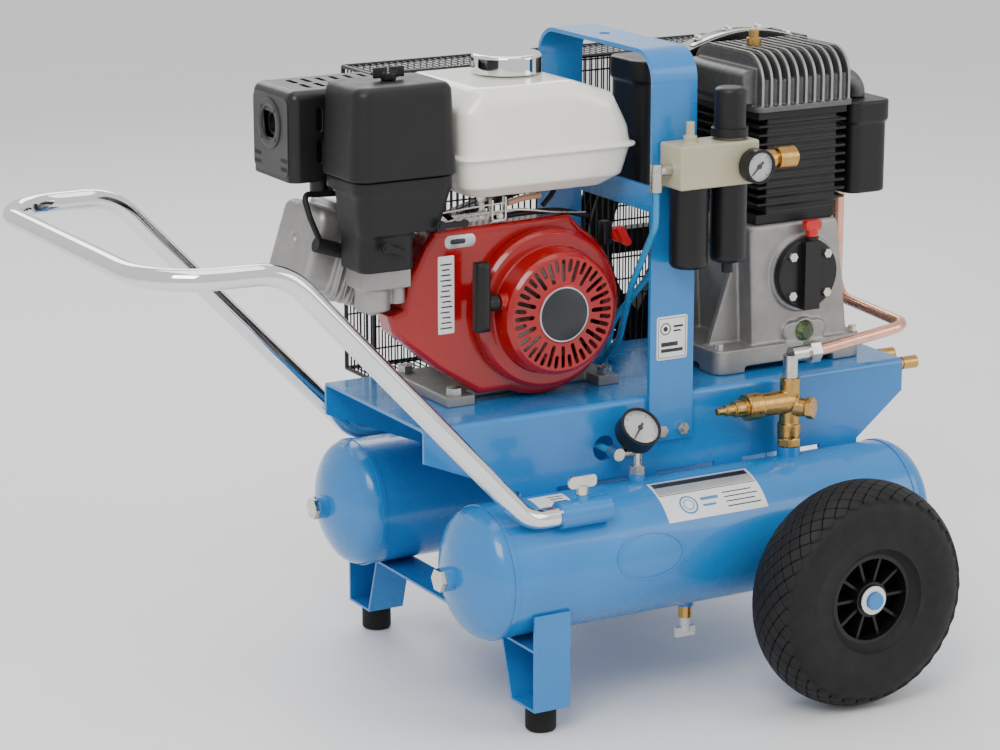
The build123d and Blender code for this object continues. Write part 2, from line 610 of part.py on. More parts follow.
AIR_X0, AIR_X1, AIR_Y0, AIR_Y1 = -230.0, -101.0, -106.0, -8.0
AIR_Z, AIR_TOP = 634.0, 738.0
AIR_MID = ((AIR_X0 + AIR_X1) / 2, (AIR_Y0 + AIR_Y1) / 2)
AIR_SIZE = (AIR_X1 - AIR_X0, AIR_Y1 - AIR_Y0)
with BuildPart() as air_cleaner_base:
    with BuildSketch(Plane.XY.offset(AIR_Z - 0.5)):
        with Locations(AIR_MID):
            RectangleRounded(AIR_SIZE[0] - 5, AIR_SIZE[1] - 5, 18)
    extrude(amount=-16)
    with BuildSketch(Plane.XY.offset(AIR_Z - 16.5)):
        with Locations((AIR_MID[0], -66)):
            RectangleRounded(AIR_SIZE[0] - 9, 74, 16)
    with BuildSketch(Plane.XY.offset(572)):
        with Locations((-172, -66)):
            RectangleRounded(100, 72, 14)
    loft()
    with BuildSketch(Plane.XY.offset(572)):
        with Locations((-188, -68)):
            RectangleRounded(68, 64, 14)
    extrude(amount=-42)
    rod_z(*AIR_MID, AIR_Z - 1, AIR_TOP + 10, 3)
save("air_cleaner_base", air_cleaner_base)

with BuildPart() as air_cleaner_cover:
    with BuildSketch(Plane.XY.offset(AIR_Z)):
        with Locations(AIR_MID):
            RectangleRounded(AIR_SIZE[0] + 4, AIR_SIZE[1] + 4, 22)
    extrude(amount=AIR_TOP - AIR_Z, taper=3)
    fillet(air_cleaner_cover.faces().sort_by(Axis.Z)[-1].edges(), 12)
    with BuildSketch(Plane.XY.offset(AIR_Z - 1)):
        with Locations(AIR_MID):
            RectangleRounded(AIR_SIZE[0] - 2, AIR_SIZE[1] - 2, 18)
    extrude(amount=AIR_TOP - AIR_Z - 12, taper=3, mode=Mode.SUBTRACT)
    rod_z(*AIR_MID, AIR_Z, AIR_TOP + 1, 3 + FIT, Mode.SUBTRACT)
save("air_cleaner_cover", air_cleaner_cover)

with BuildPart() as air_cleaner_nut:
    nut_x, nut_y = AIR_MID
    rod_z(nut_x, nut_y, AIR_TOP + 0.3, AIR_TOP + 9, 9)
    block(nut_x - 19, nut_x + 19, nut_y - 2.5, nut_y + 2.5, AIR_TOP + 3, AIR_TOP + 15)
    rod_z(nut_x, nut_y, AIR_TOP - 1, AIR_TOP + 16, 3 + FIT, Mode.SUBTRACT)
save("air_cleaner_nut", air_cleaner_nut)


def make_lever(x, z, y, length, angle):
    """Flat control lever on the front of the engine, turning about Y."""
    plane = Plane(origin=(x, y, z), x_dir=(cos(radians(angle)), 0, sin(radians(angle))),
                  z_dir=(0, -1, 0))
    with BuildPart() as lever:
        with BuildSketch(plane):
            Circle(6)
            with Locations((length / 2, 0)):
                Rectangle(length, 7)
            with Locations((length, 0)):
                Circle(5)
        extrude(amount=2.5)
        with BuildSketch(plane.offset(-1)):
            Circle(3)
        extrude(amount=5)
    return lever


CHOKE_X, CHOKE_Z, FUEL_X, FUEL_Z, LEVER_Y = -128.0, 578.0, -196.0, 560.0, -107.5
THROTTLE_X, THROTTLE_Y, THROTTLE_Z = -40.0, -44.0, 572.0
save("choke_lever", make_lever(CHOKE_X, CHOKE_Z, LEVER_Y, 30, 0))
save("fuel_lever", make_lever(FUEL_X, FUEL_Z, LEVER_Y, 24, -20))
save("throttle_lever", make_lever(THROTTLE_X, THROTTLE_Z, THROTTLE_Y, 18, 95))

# ---------------------------------------------------------------- exhaust
MUF_X0, MUF_X1, MUF_Y0, MUF_Y1, MUF_Z0, MUF_Z1 = -251.0, -120.0, 6.0, 92.0, 628.0, 712.0
with BuildPart() as muffler:
    rounded_block(MUF_X0, MUF_X1, MUF_Y0, MUF_Y1, MUF_Z0, MUF_Z1, 14)
    block(MUF_X0 + 16, MUF_X1 - 16, MUF_Y0 + 16, MUF_Y1 - 16, MUF_Z0 + 16, MUF_Z1 - 16,
          Mode.SUBTRACT)
    rod_x(MUF_X0 - 6, MUF_X0 + 2, 50, 682, 14)
    rod_x(MUF_X0 - 7, MUF_X0 - 1, 50, 682, 11, Mode.SUBTRACT)
    rod_z(-196, 52, 596, MUF_Z0 + 2, 14)
save("muffler", muffler)

SHELL_X0, SHELL_X1, SHELL_Y0, SHELL_Y1, SHELL_Z0, SHELL_Z1 = -261.0, -116.0, -4.0, 100.0, 620.0, 724.0
with BuildPart() as muffler_guard:
    rounded_block(SHELL_X0, SHELL_X1, SHELL_Y0, SHELL_Y1, SHELL_Z0, SHELL_Z1, 12, "top")
    for wall, radius, top in ((2, 10, SHELL_Z1 - 11), (9, 3, SHELL_Z1 - 2)):
        width, depth = SHELL_X1 - SHELL_X0 - 2 * wall + 24, SHELL_Y1 - SHELL_Y0 - 2 * wall
        with BuildSketch(Plane.XY.offset(SHELL_Z0 - 1)):
            with Locations((SHELL_X0 + wall + width / 2, (SHELL_Y0 + SHELL_Y1) / 2)):
                RectangleRounded(width, depth, radius)
        extrude(amount=top - SHELL_Z0 + 1, mode=Mode.SUBTRACT)
    rod_x(SHELL_X0 - 1, SHELL_X0 + 12, 50, 682, 19, Mode.SUBTRACT)
    # louvres in the top, and slots in the end and the near side
    with BuildSketch(Plane.XY.offset(SHELL_Z1 - 12)):
        with Locations((-180, 48)):
            with GridLocations(18, 34, 6, 2):
                SlotOverall(26, 6, rotation=90)
    extrude(amount=14, mode=Mode.SUBTRACT)
    with BuildSketch(facing_right(SHELL_X0 - 1)):
        with Locations((50, 644)):
            with GridLocations(20, 18, 4, 2):
                SlotOverall(15, 5)
    extrude(amount=12, mode=Mode.SUBTRACT)
    with BuildSketch(facing_front(SHELL_Y0 + 12)):
        with Locations((-180, 672)):
            with GridLocations(18, 36, 6, 2):
                SlotOverall(26, 6, rotation=90)
    extrude(amount=14, mode=Mode.SUBTRACT)
save("muffler_guard", muffler_guard)

PLUG = on_cylinder(254.2).origin + Vector(0, -CYLINDER_Y - 27, 0) + Vector(sin(UP), 0, cos(UP)) * 6
with BuildPart() as spark_lead:
    with BuildSketch(Plane(origin=PLUG, x_dir=(0, 1, 0), z_dir=ALONG)):
        Circle(8.5)
    extrude(amount=38)
    pipe([tuple(PLUG + Vector(*ALONG) * 29), (-250, -27, 585), (-252, -14, 610), (-225, -1, 605),
          (-100, -1, 600), (-60, -1, 562), (-38, -1, 541), (-38, -27.7, 541)],
         [12, 11, 12, 30, 10, 9], 3.3)
save("spark_lead", spark_lead)

SWITCH_X, SWITCH_Z = 136.0, 532.0
with BuildPart() as engine_switch:
    rod_y(SWITCH_X, -64, -54, SWITCH_Z, 9)
    with BuildSketch(Plane(origin=(SWITCH_X, -64, SWITCH_Z), x_dir=(0.5, 0, -0.866),
                           z_dir=(0, -1, 0))):
        toggle = Rectangle(26, 9)
        fillet(toggle.vertices(), 4)
    extrude(amount=9)
save("engine_switch", engine_switch)

# ---------------------------------------------------------------- pump
CASE_Y0, CASE_Y1 = -83.0, 62.0
with BuildPart() as pump_crankcase:
    with BuildSketch(facing_front(CASE_Y1)):
        with BuildLine():
            Polyline((312, 376), (453, 376), (434, DECK_Z), (305, DECK_Z), close=True)
        walls = make_face()
        fillet(walls.vertices().group_by(Axis.Y)[-1], 8)
    extrude(amount=CASE_Y1 - CASE_Y0)
    fillet(pump_crankcase.faces().sort_by(Axis.Y)[0].edges().sort_by(Axis.Z)[1:], 5)
    foot = block(257, 471, -90, 66, TRAY_Z, 380)
    fillet(foot.edges().filter_by(Axis.Z), 16)
    # arches between the four feet
    block(298, 427, -91, 67, TRAY_Z - 1, TRAY_Z + 8, Mode.SUBTRACT)
    block(256, 472, -50, 26, TRAY_Z - 1, TRAY_Z + 8, Mode.SUBTRACT)
    # ribs that spread from the deck to the feet
    for y in (-52, 36):
        with BuildSketch(facing_front(y + 4)):
            with BuildLine():
                Polyline((266, 378), (467, 378), (434, 500), (307, 500), close=True)
            make_face()
        extrude(amount=8)
    rod_y(PUMP_X, CASE_Y0 - 4, CASE_Y0 + 4, PUMP_Z, 47)
    # sump, bearings and the two bores
    rod_y(PUMP_X, -70, 50, PUMP_Z, 55, Mode.SUBTRACT)
    rod_y(PUMP_X, -82, 90, PUMP_Z, SHAFT_R + FIT, Mode.SUBTRACT)
    for y in PUMP_YS:
        rod_z(PUMP_X, y, PUMP_Z, DECK_Z + 1, PUMP_BORE / 2, Mode.SUBTRACT)
    # oval flange of the oil sight glass
    with BuildSketch(facing_front(CASE_Y0 + 1)):
        with Locations((385, 392)):
            SlotOverall(62, 24)
            Circle(16)
    extrude(amount=6)
    rod_y(385, CASE_Y0 - 6, CASE_Y0 + 1, 392, 11.5, Mode.SUBTRACT)
save("pump_crankcase", pump_crankcase)

COVER_Y = CASE_Y0 - 4.0
with BuildPart() as pump_cover:
    disc = rod_y(PUMP_X, COVER_Y - 10, COVER_Y, PUMP_Z, 43)
    fillet(disc.edges().filter_by(GeomType.CIRCLE).group_by(Axis.Y)[0], 3)
    block(PUMP_X - 11, PUMP_X + 11, COVER_Y - 19, COVER_Y - 1, PUMP_Z - 42, PUMP_Z + 42)
    rod_z(PUMP_X + 4, COVER_Y - 9, PUMP_Z + 30, PUMP_Z + 46, 8.5)
    rod_z(PUMP_X + 4, COVER_Y - 9, PUMP_Z + 36, PUMP_Z + 47, 4 + FIT, Mode.SUBTRACT)
save("pump_cover", pump_cover)

with BuildPart() as pump_dipstick:
    kx, ky, kz = PUMP_X + 4, COVER_Y - 9, PUMP_Z + 46.3
    rod_z(kx, ky, kz - 9, kz + 2, 4)
    rod_z(kx, ky, kz, kz + 10, 8)
    wings = block(kx - 11.5, kx + 11.5, ky - 5, ky + 5, kz + 8, kz + 20)
    fillet(wings.edges().filter_by(Axis.Y), 4)
save("pump_dipstick", pump_dipstick)

with BuildPart() as sight_glass:
    rod_y(385, CASE_Y0 - 7, CASE_Y0 + 0.9, 392, 11.4)
    with BuildSketch(Plane(origin=(385, CASE_Y0 - 7, 392), x_dir=(1, 0, 0), z_dir=(0, -1, 0))):
        Circle(11.4)
    extrude(amount=5, taper=35)
save("sight_glass", sight_glass)

CYL_X0, CYL_X1, CYL_Y0, CYL_Y1 = 318.0, 446.0, -78.0, 58.0
with BuildPart() as pump_cylinder:
    block(CYL_X0 + 14, CYL_X1 - 14, CYL_Y0 + 2, CYL_Y1 - 2, DECK_Z, HEAD_Z)
    block(CYL_X0 - 2, 430, CYL_Y0, CYL_Y1, DECK_Z, DECK_Z + 12)
    for i in range(11):
        z = DECK_Z + 22 + i * 10.5
        block(CYL_X0, CYL_X1, CYL_Y0, CYL_Y1, z, z + 3.5)
    block(CYL_X0, CYL_X1, CYL_Y0, CYL_Y1, HEAD_Z - 8, HEAD_Z)
    fillet(pump_cylinder.edges().filter_by(Axis.Z).group_by(SortBy.LENGTH)[0], 1.2)
    for y in PUMP_YS:
        rod_z(PUMP_X, y, DECK_Z - 1, HEAD_Z + 1, PUMP_BORE / 2, Mode.SUBTRACT)
save("pump_cylinder", pump_cylinder)

FIN_TOP = 731.0
with BuildPart() as pump_head:
    block(CYL_X0, CYL_X1, CYL_Y0, CYL_Y1, HEAD_Z, 700)
    plate = block(CYL_X0 - 6, CYL_X1 + 6, CYL_Y0 - 6, CYL_Y1 + 6, HEAD_Z, HEAD_Z + 7)
    fillet(plate.edges().filter_by(Axis.Z), 8)
    for i in range(11):
        with BuildSketch(facing_right(CYL_X0 + i * 12.45)):
            with Locations(((CYL_Y0 + CYL_Y1) / 2, (HEAD_Z + FIN_TOP) / 2 + 2)):
                fin = Rectangle(CYL_Y1 - CYL_Y0 + 10, FIN_TOP - HEAD_Z - 4)
            fillet(fin.vertices().group_by(Axis.Y)[-1], 34)
        extrude(amount=3.5)
    # valve chamber on the left and outlet boss on the right
    chamber = block(298, CYL_X0 + 2, CYL_Y0 + 6, CYL_Y1 - 6, HEAD_Z + 10, 714)
    fillet(chamber.edges().filter_by(Axis.Y).group_by(Axis.X)[0], 9)
    rod_x(CYL_X1 - 2, 456, 36, 690, 11)
    pipe([(CYL_X1 - 3, -22, 685), (497, -22, 685), (497, -22, 660.3)], [22], 13)
    rod_z(352, -14, 698, 733, 13)
save("pump_head", pump_head)

with BuildPart() as pump_filters:
    for x0, x1, y0, y1, z0, z1 in ((464, 529, -62, 18, 546, 660), (212, 282, 20, 100, 560, 718)):
        box = block(x0 + 3, x1 - 3, y0 + 3, y1 - 3, z0, z1 - 24)
        fillet(box.edges().filter_by(Axis.Z), 16)
        cap = block(x0, x1, y0, y1, z1 - 26, z1)
        fillet(cap.edges().filter_by(Axis.Z), 18)
    rod_x(280, 297.8, 40, 694, 12)
save("pump_filters", pump_filters)

with BuildPart() as pump_crankshaft:
    rod_y(PUMP_X, -80, -52, PUMP_Z, SHAFT_R)
    rod_y(PUMP_X, 30, 204, PUMP_Z, SHAFT_R)
    for y0, y1 in ((-62, -52), (-32, 12), (32, 42)):
        rod_y(PUMP_X, y0, y1, PUMP_Z, 44)
    throw = PUMP_STROKE / 2
    rod_y(PUMP_X + throw, -54, -30, PUMP_Z, 14)
    rod_y(PUMP_X - throw, 10, 34, PUMP_Z, 14)
save("pump_crankshaft", pump_crankshaft)


def make_pump_piston(y):
    crown = HEAD_Z - 4 - PUMP_STROKE / 2
    with BuildPart() as piston:
        rod_z(PUMP_X, y, crown - 42, crown, PUMP_BORE / 2 - 0.08)
        rod_z(PUMP_X, y, crown - 43, crown - 7, PUMP_BORE / 2 - 5, Mode.SUBTRACT)
        rod_y(PUMP_X, y - 23, y + 23, crown - 22, 7)
        block(PUMP_X - 8, PUMP_X + 8, y - 5, y + 5, crown - 92, crown - 20)
    return piston


save("pump_piston_left", make_pump_piston(PUMP_YS[0]))
save("pump_piston_right", make_pump_piston(PUMP_YS[1]))

with BuildPart() as pump_flywheel:
    grooved_wheel(PUMP_X, PUMP_Z, FLYWHEEL_R, 166, 204)
    rod_y(PUMP_X, 160, 210, PUMP_Z, FLYWHEEL_R - 32, Mode.SUBTRACT)
    rod_y(PUMP_X, 166, 204, PUMP_Z, 34)
    with BuildSketch(Plane(origin=(PUMP_X, 197, PUMP_Z), x_dir=(1, 0, 0), z_dir=(0, -1, 0))):
        with PolarLocations((FLYWHEEL_R - 32 + 30) / 2, 6):
            Rectangle(FLYWHEEL_R - 32 - 26, 30)
    extrude(amount=22)
    rod_y(PUMP_X, 150, 210, PUMP_Z, SHAFT_R, Mode.SUBTRACT)
save("pump_flywheel", pump_flywheel)

# ---------------------------------------------------------------- belts and guard
with BuildPart() as belts:
    for y in BELT_YS:
        with BuildSketch(facing_front(y + BELT_W / 2)):
            with BuildSketch():
                with Locations((ENGINE_X, ENGINE_Z)):
                    Circle(PULLEY_R - 2)
                with Locations((PUMP_X, PUMP_Z)):
                    Circle(FLYWHEEL_R - 2)
                make_hull()
            with BuildSketch(mode=Mode.SUBTRACT):
                with Locations((ENGINE_X, ENGINE_Z)):
                    Circle(PULLEY_R - 2 - BELT_H)
                with Locations((PUMP_X, PUMP_Z)):
                    Circle(FLYWHEEL_R - 2 - BELT_H)
                make_hull()
        extrude(amount=BELT_W)
save("belts", belts)


def guard_outline(inset):
    """Side view of the belt guard: long and flat-topped, cut away under the engine end."""
    x0, x1, z0, z1 = GUARD_X0 + inset, GUARD_X1 - inset, GUARD_Z0 + inset, GUARD_Z1 - inset
    with BuildLine() as outline:
        Polyline(
            (x0, z1), (x1, z1), (x1, z0), (GUARD_STEP_X + 90, z0),
            (GUARD_STEP_X, GUARD_STEP_Z + inset), (x0, GUARD_STEP_Z + inset), close=True,
        )
    return outline.edges()


def guard_panel(y, openings):
    """Wire panel of the belt guard: upright bars with a few cross bars."""
    centre = ((GUARD_X0 + GUARD_X1) / 2, (GUARD_Z0 + GUARD_Z1) / 2)
    with BuildSketch(facing_front(y)) as panel:
        with Locations(centre):
            GridLocations(24, 72, 28, 6)
            with GridLocations(24, 72, 28, 6):
                Rectangle(20, 68)
        make_face(guard_outline(4), mode=Mode.INTERSECT)
        with BuildSketch(mode=Mode.PRIVATE) as windows:
            add(panel.sketch)
    with BuildSketch(facing_front(y)) as sheet:
        make_face(guard_outline(0))
        add(windows.sketch, mode=Mode.SUBTRACT)
        for x, z, r in openings:
            with Locations((x, z)):
                Circle(r + 4)
                Circle(r, mode=Mode.SUBTRACT)
    extrude(sheet.sketch, amount=GUARD_T)


with BuildPart() as belt_guard:
    guard_panel(GUARD_Y0 + GUARD_T, ((ENGINE_X, ENGINE_Z, 34), (PUMP_X, PUMP_Z, 40)))
    guard_panel(GUARD_Y1, ())
    with BuildSketch(facing_front(GUARD_Y1)):
        make_face(guard_outline(0))
        make_face(guard_outline(GUARD_T), mode=Mode.SUBTRACT)
    extrude(amount=GUARD_Y1 - GUARD_Y0)
    # curved air hood over the back of the pump
    with BuildSketch(facing_front(104)):
        with BuildLine():
            hood = ThreePointArc((298, 712), (404, 736), (508, 712))
            Line(hood @ 1, (508, 709))
            ThreePointArc((508, 709), (404, 733), (298, 709))
            Line((298, 709), (298, 712))
        make_face()
    extrude(amount=34)
    with BuildSketch(facing_front(104)):
        with BuildLine():
            arch = ThreePointArc((298, 710), (404, 734), (508, 710))
            Polyline(arch @ 1, (508, 560), (298, 560), arch @ 0)
        make_face()
    extrude(amount=2.5)
    # flat strip from the hood to the end of the guard
    block(500, X_END - 1, 92, GUARD_Y0 + 1, 700, 703.5)
save("belt_guard", belt_guard)

# ---------------------------------------------------------------- discharge pipe
with BuildPart() as copper_pipe:
    expected = pipe(
        [(359.3, VALVE_Y, 384), (490, VALVE_Y, 400), (520, 36, 396), (520, 36, 690),
         (456.2, 36, 690)],
        [24, 30, 24], 7,
    )
print("copper pipe volume / section x length:", round(copper_pipe.part.volume / expected, 4))
save("copper_pipe", copper_pipe)

# ---------------------------------------------------------------- brass pilot valve
ARM_Z = 327.0
with BuildPart() as pilot_valve:
    hexagon(Plane.XY.offset(272.2).shift_origin((VALVE_X, VALVE_Y, 272.2)), 26, 10)
    rod_z(VALVE_X, VALVE_Y, 280, 356, 12)
    rod_z(VALVE_X, VALVE_Y, 284, 300, 14)
    rod_x(VALVE_X, 274, VALVE_Y, ARM_Z, 14)
    rod_x(276, 256, VALVE_Y, ARM_Z, 16)
    rod_x(258, 240, VALVE_Y, ARM_Z, 10)
    rod_x(242, 228, VALVE_Y, ARM_Z, 7)
    rod_x(230, 216, VALVE_Y, ARM_Z, 4.5)
    arm = Plane(origin=(VALVE_X, VALVE_Y, ARM_Z - 6), x_dir=(0, 0, 1), z_dir=(0.6, -0.8, 0))
    with BuildSketch(arm):
        Circle(11)
    extrude(amount=30)
    with BuildSketch(arm.offset(22)):
        RegularPolygon(12, 6, major_radius=False)
    extrude(amount=9)
save("pilot_valve", pilot_valve)

# ---------------------------------------------------------------- gauges
GAUGE_TILT = radians(43)
GAUGE_C = (GAUGE_X - 2, -164.0, 328.0)
GAUGE_R, FRL_GAUGE_R = 25.0, 20.0
FRL_GAUGE_C = (240.0, -198.0, 625.0)
TANK_DIAL = Plane(origin=GAUGE_C, x_dir=(1, 0, 0), z_dir=(0, -cos(GAUGE_TILT), sin(GAUGE_TILT)))
FRL_DIAL = Plane(origin=FRL_GAUGE_C, x_dir=(1, 0, 0), z_dir=(0, -1, 0))


def gauge_case(dial, radius, depth):
    """Round cup with its dial set back inside the rim."""
    with BuildSketch(dial) as case:
        Circle(radius)
    extrude(case.sketch, amount=-depth)
    with BuildSketch(dial) as recess:
        Circle(radius - 2.5)
    extrude(recess.sketch, amount=-4, mode=Mode.SUBTRACT)


with BuildPart() as gauges:
    gauge_case(TANK_DIAL, GAUGE_R, 20)
    gauge_case(FRL_DIAL, FRL_GAUGE_R, 16)
save("gauges", gauges)


def make_needle(dial, radius, angle):
    turn = radians(angle)
    pointer = Plane(origin=dial.origin - dial.z_dir * 3.4, z_dir=dial.z_dir,
                    x_dir=dial.x_dir * cos(turn) + dial.y_dir * sin(turn))
    with BuildPart() as needle:
        with BuildSketch(pointer):
            Circle(3)
            with BuildLine():
                Polyline((-7, -1.4), (radius - 7, -0.5), (radius - 7, 0.5), (-7, 1.4), close=True)
            make_face()
        extrude(amount=1.2)
    return needle


save("tank_gauge_needle", make_needle(TANK_DIAL, GAUGE_R, 225))
save("frl_gauge_needle", make_needle(FRL_DIAL, FRL_GAUGE_R, 225))

# ---------------------------------------------------------------- filter and regulator
FRL_Y0, FRL_Y1, FRL_Y = -178.0, -132.0, -155.0
FRL_X0, FRL_X1, FRL_Z0, FRL_Z1 = 144.5, 251.5, 602.0, 653.0
BOWL_X, KNOB_X = 171.0, 225.0
with BuildPart() as frl_body:
    rounded_block(FRL_X0, FRL_X1, FRL_Y0, FRL_Y1, FRL_Z0, FRL_Z1, 2.5)
    # joint line between the filter and the regulator
    split_x = (BOWL_X + KNOB_X) / 2
    block(split_x - 0.6, split_x + 0.6, FRL_Y0 - 1, FRL_Y0 + 1.2, FRL_Z0 - 1, FRL_Z1 + 1, Mode.SUBTRACT)
    # air test fitting on the filter, collar under the knob
    rod_z(BOWL_X, FRL_Y, FRL_Z1 - 2, FRL_Z1 + 8, 8)
    rod_z(BOWL_X, FRL_Y, FRL_Z1 + 6, FRL_Z1 + 24, 5)
    rod_z(KNOB_X, FRL_Y, FRL_Z1 - 2, FRL_Z1 + 3, 15)
    rod_y(KNOB_X + 15, FRL_GAUGE_C[1] + 16.2, FRL_Y0 + 2, 625, 6)
    block(BOWL_X - 24, BOWL_X + 24, FRL_Y1 - 2, -HOOP_IN - HOOP_T - 0.2, FRL_Z0 + 4, FRL_Z1 - 4)
save("frl_body", frl_body)

with BuildPart() as frl_bowls:
    for x, r, z in ((BOWL_X, 22.5, 507), (KNOB_X, 21.5, 509)):
        bowl = rod_z(x, FRL_Y, z, FRL_Z0 - 0.2, r)
        fillet(bowl.edges().group_by(Axis.Z)[0], 7)
    rod_z(KNOB_X, FRL_Y, 496, 512, 7)
save("frl_bowls", frl_bowls)

with BuildPart() as regulator_knob:
    cap = rod_z(KNOB_X, FRL_Y, 664, 713, 18.5)
    fillet(cap.edges().group_by(Axis.Z)[-1], 6)
    rod_z(KNOB_X, FRL_Y, FRL_Z1 + 3.4, 666, 21.5)
save("regulator_knob", regulator_knob)

# ---------------------------------------------------------------- brass fittings
OUTLET_YS, OUTLET_Z = (-106.0, -60.0), 338.0
COUPLER_Z = 624.0
with BuildPart() as brass_fittings:
    # gauge column with its elbow to the hose
    hexagon(Plane.XY.offset(268.2).shift_origin((GAUGE_X, GAUGE_Y, 268.2)), 17, 10)
    rod_z(GAUGE_X, GAUGE_Y, 276, 303, 6)
    rod_x(GAUGE_X, FLANGE_HOLE_X, GAUGE_Y, HOSE_Z, 6)
    rod_y(FLANGE_HOLE_X, GAUGE_Y - 7, GAUGE_Y + 10, HOSE_Z, 7.5)
    # elbow and nut that take the discharge pipe
    rod_z(VALVE_X, VALVE_Y, 356.2, 384, 9)
    rod_x(VALVE_X, 346, VALVE_Y, 384, 9)
    hexagon(Plane(origin=(344, VALVE_Y, 384), x_dir=(0, 1, 0), z_dir=(1, 0, 0)), 24, 14)
    # twin outlets at the end of the tray
    block(478, 503, -118, -48, 327, 345.6)
    for y in OUTLET_YS:
        rod_x(502, 520, y, OUTLET_Z, 7)
        rod_x(518, X_END, y, OUTLET_Z, 8)
    # quick coupler beside the regulator
    hexagon(Plane(origin=(251.7, FRL_Y, COUPLER_Z), x_dir=(0, 1, 0), z_dir=(1, 0, 0)), 20, 16)
    rod_x(266, 318, FRL_Y, COUPLER_Z, 8.5)
    rod_x(266, 286, FRL_Y, COUPLER_Z, 11)
    # inlet elbow of the filter
    rod_x(122, 144.3, FRL_Y, COUPLER_Z, 7)
    rod_z(126, FRL_Y, 600, 632, 7.5)
    # safety valve on the pump head
    rod_z(352, -14, 733.2, 742, 9)
    rod_z(352, -14, 741, 752, 6)
    # hose elbow on the side of the pump
    rod_x(279.5, 299.2, 0, 500, 6)
    # drain cock bodies
    for s in (-1, 1):
        rod_z(DRAIN_X, s * TANK_Y, 84, 98.3, 8)
save("brass_fittings", brass_fittings)


def make_drain_cock(side):
    with BuildPart() as cock:
        rod_z(DRAIN_X, side * TANK_Y, 66, 83.7, 6)
        block(DRAIN_X - 13, DRAIN_X + 13, side * TANK_Y - 3, side * TANK_Y + 3, 60, 72)
    return cock


save("drain_cock_left", make_drain_cock(-1))
save("drain_cock_right", make_drain_cock(1))

with BuildPart() as coupler_collar:
    rod_x(290, 314, FRL_Y, COUPLER_Z, 13)
    rod_x(289, 315, FRL_Y, COUPLER_Z, 8.5 + FIT, Mode.SUBTRACT)
save("coupler_collar", coupler_collar)

# ---------------------------------------------------------------- air hoses
with BuildPart() as hose_one:
    pipe([(126, FRL_Y, 599.8), (126, FRL_Y, 560), (129, -100, 480), (150, -40, 400),
          (164, 28, 352), (160, 30, 322), (110, -40, HOSE_Z), (FLANGE_HOLE_X, -100, HOSE_Z),
          (FLANGE_HOLE_X, GAUGE_Y + 10.2, HOSE_Z)],
         [30, 60, 60, 20, 20, 40, 30], 4)
with BuildPart() as hose_two:
    pipe([(279.3, 0, 500), (255, 0, 500), (190, 40, 400), (180, 46, 340), (215, 40, 315),
          (380, -30, 318), (450, -60, OUTLET_Z), (477.8, -60, OUTLET_Z)],
         [25, 40, 25, 40, 60, 30], 4)
with BuildPart() as air_hoses:
    add(hose_one.part)
    add(hose_two.part)
save("air_hoses", air_hoses)

# ---------------------------------------------------------------- bolts, plugs, washers
with BuildPart() as fasteners:
    for x in (-76, 128):
        for y in (-42, 78):
            hexagon(Plane.XY.offset(362.2).shift_origin((x, y, 362.2)), 17, 8)
    for x in (267, 463):
        for y in (-78, 54):
            hexagon(Plane.XY.offset(380.2).shift_origin((x, y, 380.2)), 10, 7)
    for s in (-1, 1):
        for x, z in HOOP_BOLTS:
            y = s * (HOOP_IN + HOOP_T + 0.2)
            hexagon(Plane(origin=(x, y, z), x_dir=(1, 0, 0), z_dir=(0, s, 0)), 13, 6)
        # tank plugs
        rod_x(BOSS_TIP - 0.2, BOSS_TIP + 8, s * TANK_Y, TANK_Z, 7.9)
        hexagon(Plane(origin=(BOSS_TIP - 0.2, s * TANK_Y, TANK_Z), x_dir=(0, 1, 0),
                      z_dir=(-1, 0, 0)), 24, 6)
        # washers that keep the wheels on
        rod_y(AXLE_X, s * 341.4, s * 344, AXLE_Z, 15)
        rod_y(AXLE_X, s * 341, s * 345, AXLE_Z, AXLE_R + 0.02, Mode.SUBTRACT)
    for dx in (-25, 25):
        for dz in (-24, 24):
            hexagon(Plane(origin=(PUMP_X + dx, COVER_Y - 10.2, PUMP_Z + dz), x_dir=(1, 0, 0),
                          z_dir=(0, -1, 0)), 10, 5)
save("fasteners", fasteners)
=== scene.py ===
"""Looks of the wheelbarrow air compressor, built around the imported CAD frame."""
import json
import math

import bmesh
import bpy
from mathutils import Matrix, Vector


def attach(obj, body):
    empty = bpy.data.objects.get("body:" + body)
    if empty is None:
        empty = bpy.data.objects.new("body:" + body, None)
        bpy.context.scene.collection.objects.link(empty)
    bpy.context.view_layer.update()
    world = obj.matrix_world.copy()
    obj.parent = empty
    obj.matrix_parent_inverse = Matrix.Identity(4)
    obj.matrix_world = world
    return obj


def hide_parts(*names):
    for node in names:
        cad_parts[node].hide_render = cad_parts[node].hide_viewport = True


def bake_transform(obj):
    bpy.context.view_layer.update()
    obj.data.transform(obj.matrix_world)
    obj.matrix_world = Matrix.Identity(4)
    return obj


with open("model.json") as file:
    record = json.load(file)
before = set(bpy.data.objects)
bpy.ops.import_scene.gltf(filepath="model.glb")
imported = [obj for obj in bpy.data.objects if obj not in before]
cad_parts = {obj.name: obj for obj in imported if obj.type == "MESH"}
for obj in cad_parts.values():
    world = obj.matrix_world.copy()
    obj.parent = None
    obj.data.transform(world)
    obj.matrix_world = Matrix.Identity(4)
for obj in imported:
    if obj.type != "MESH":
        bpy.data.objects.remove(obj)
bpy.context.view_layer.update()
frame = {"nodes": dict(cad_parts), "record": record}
NODES = frame["nodes"]
BODY_OF = {node: body for body, nodes in frame["record"]["behaviour"]["bodies"].items() for node in nodes}
SLOT_OF = {entry["node"]: entry["material_slot"] for entry in frame["record"]["subparts"]}
MM = 0.001
SHARP_ANGLE, SOFT_ANGLE = 38, 60


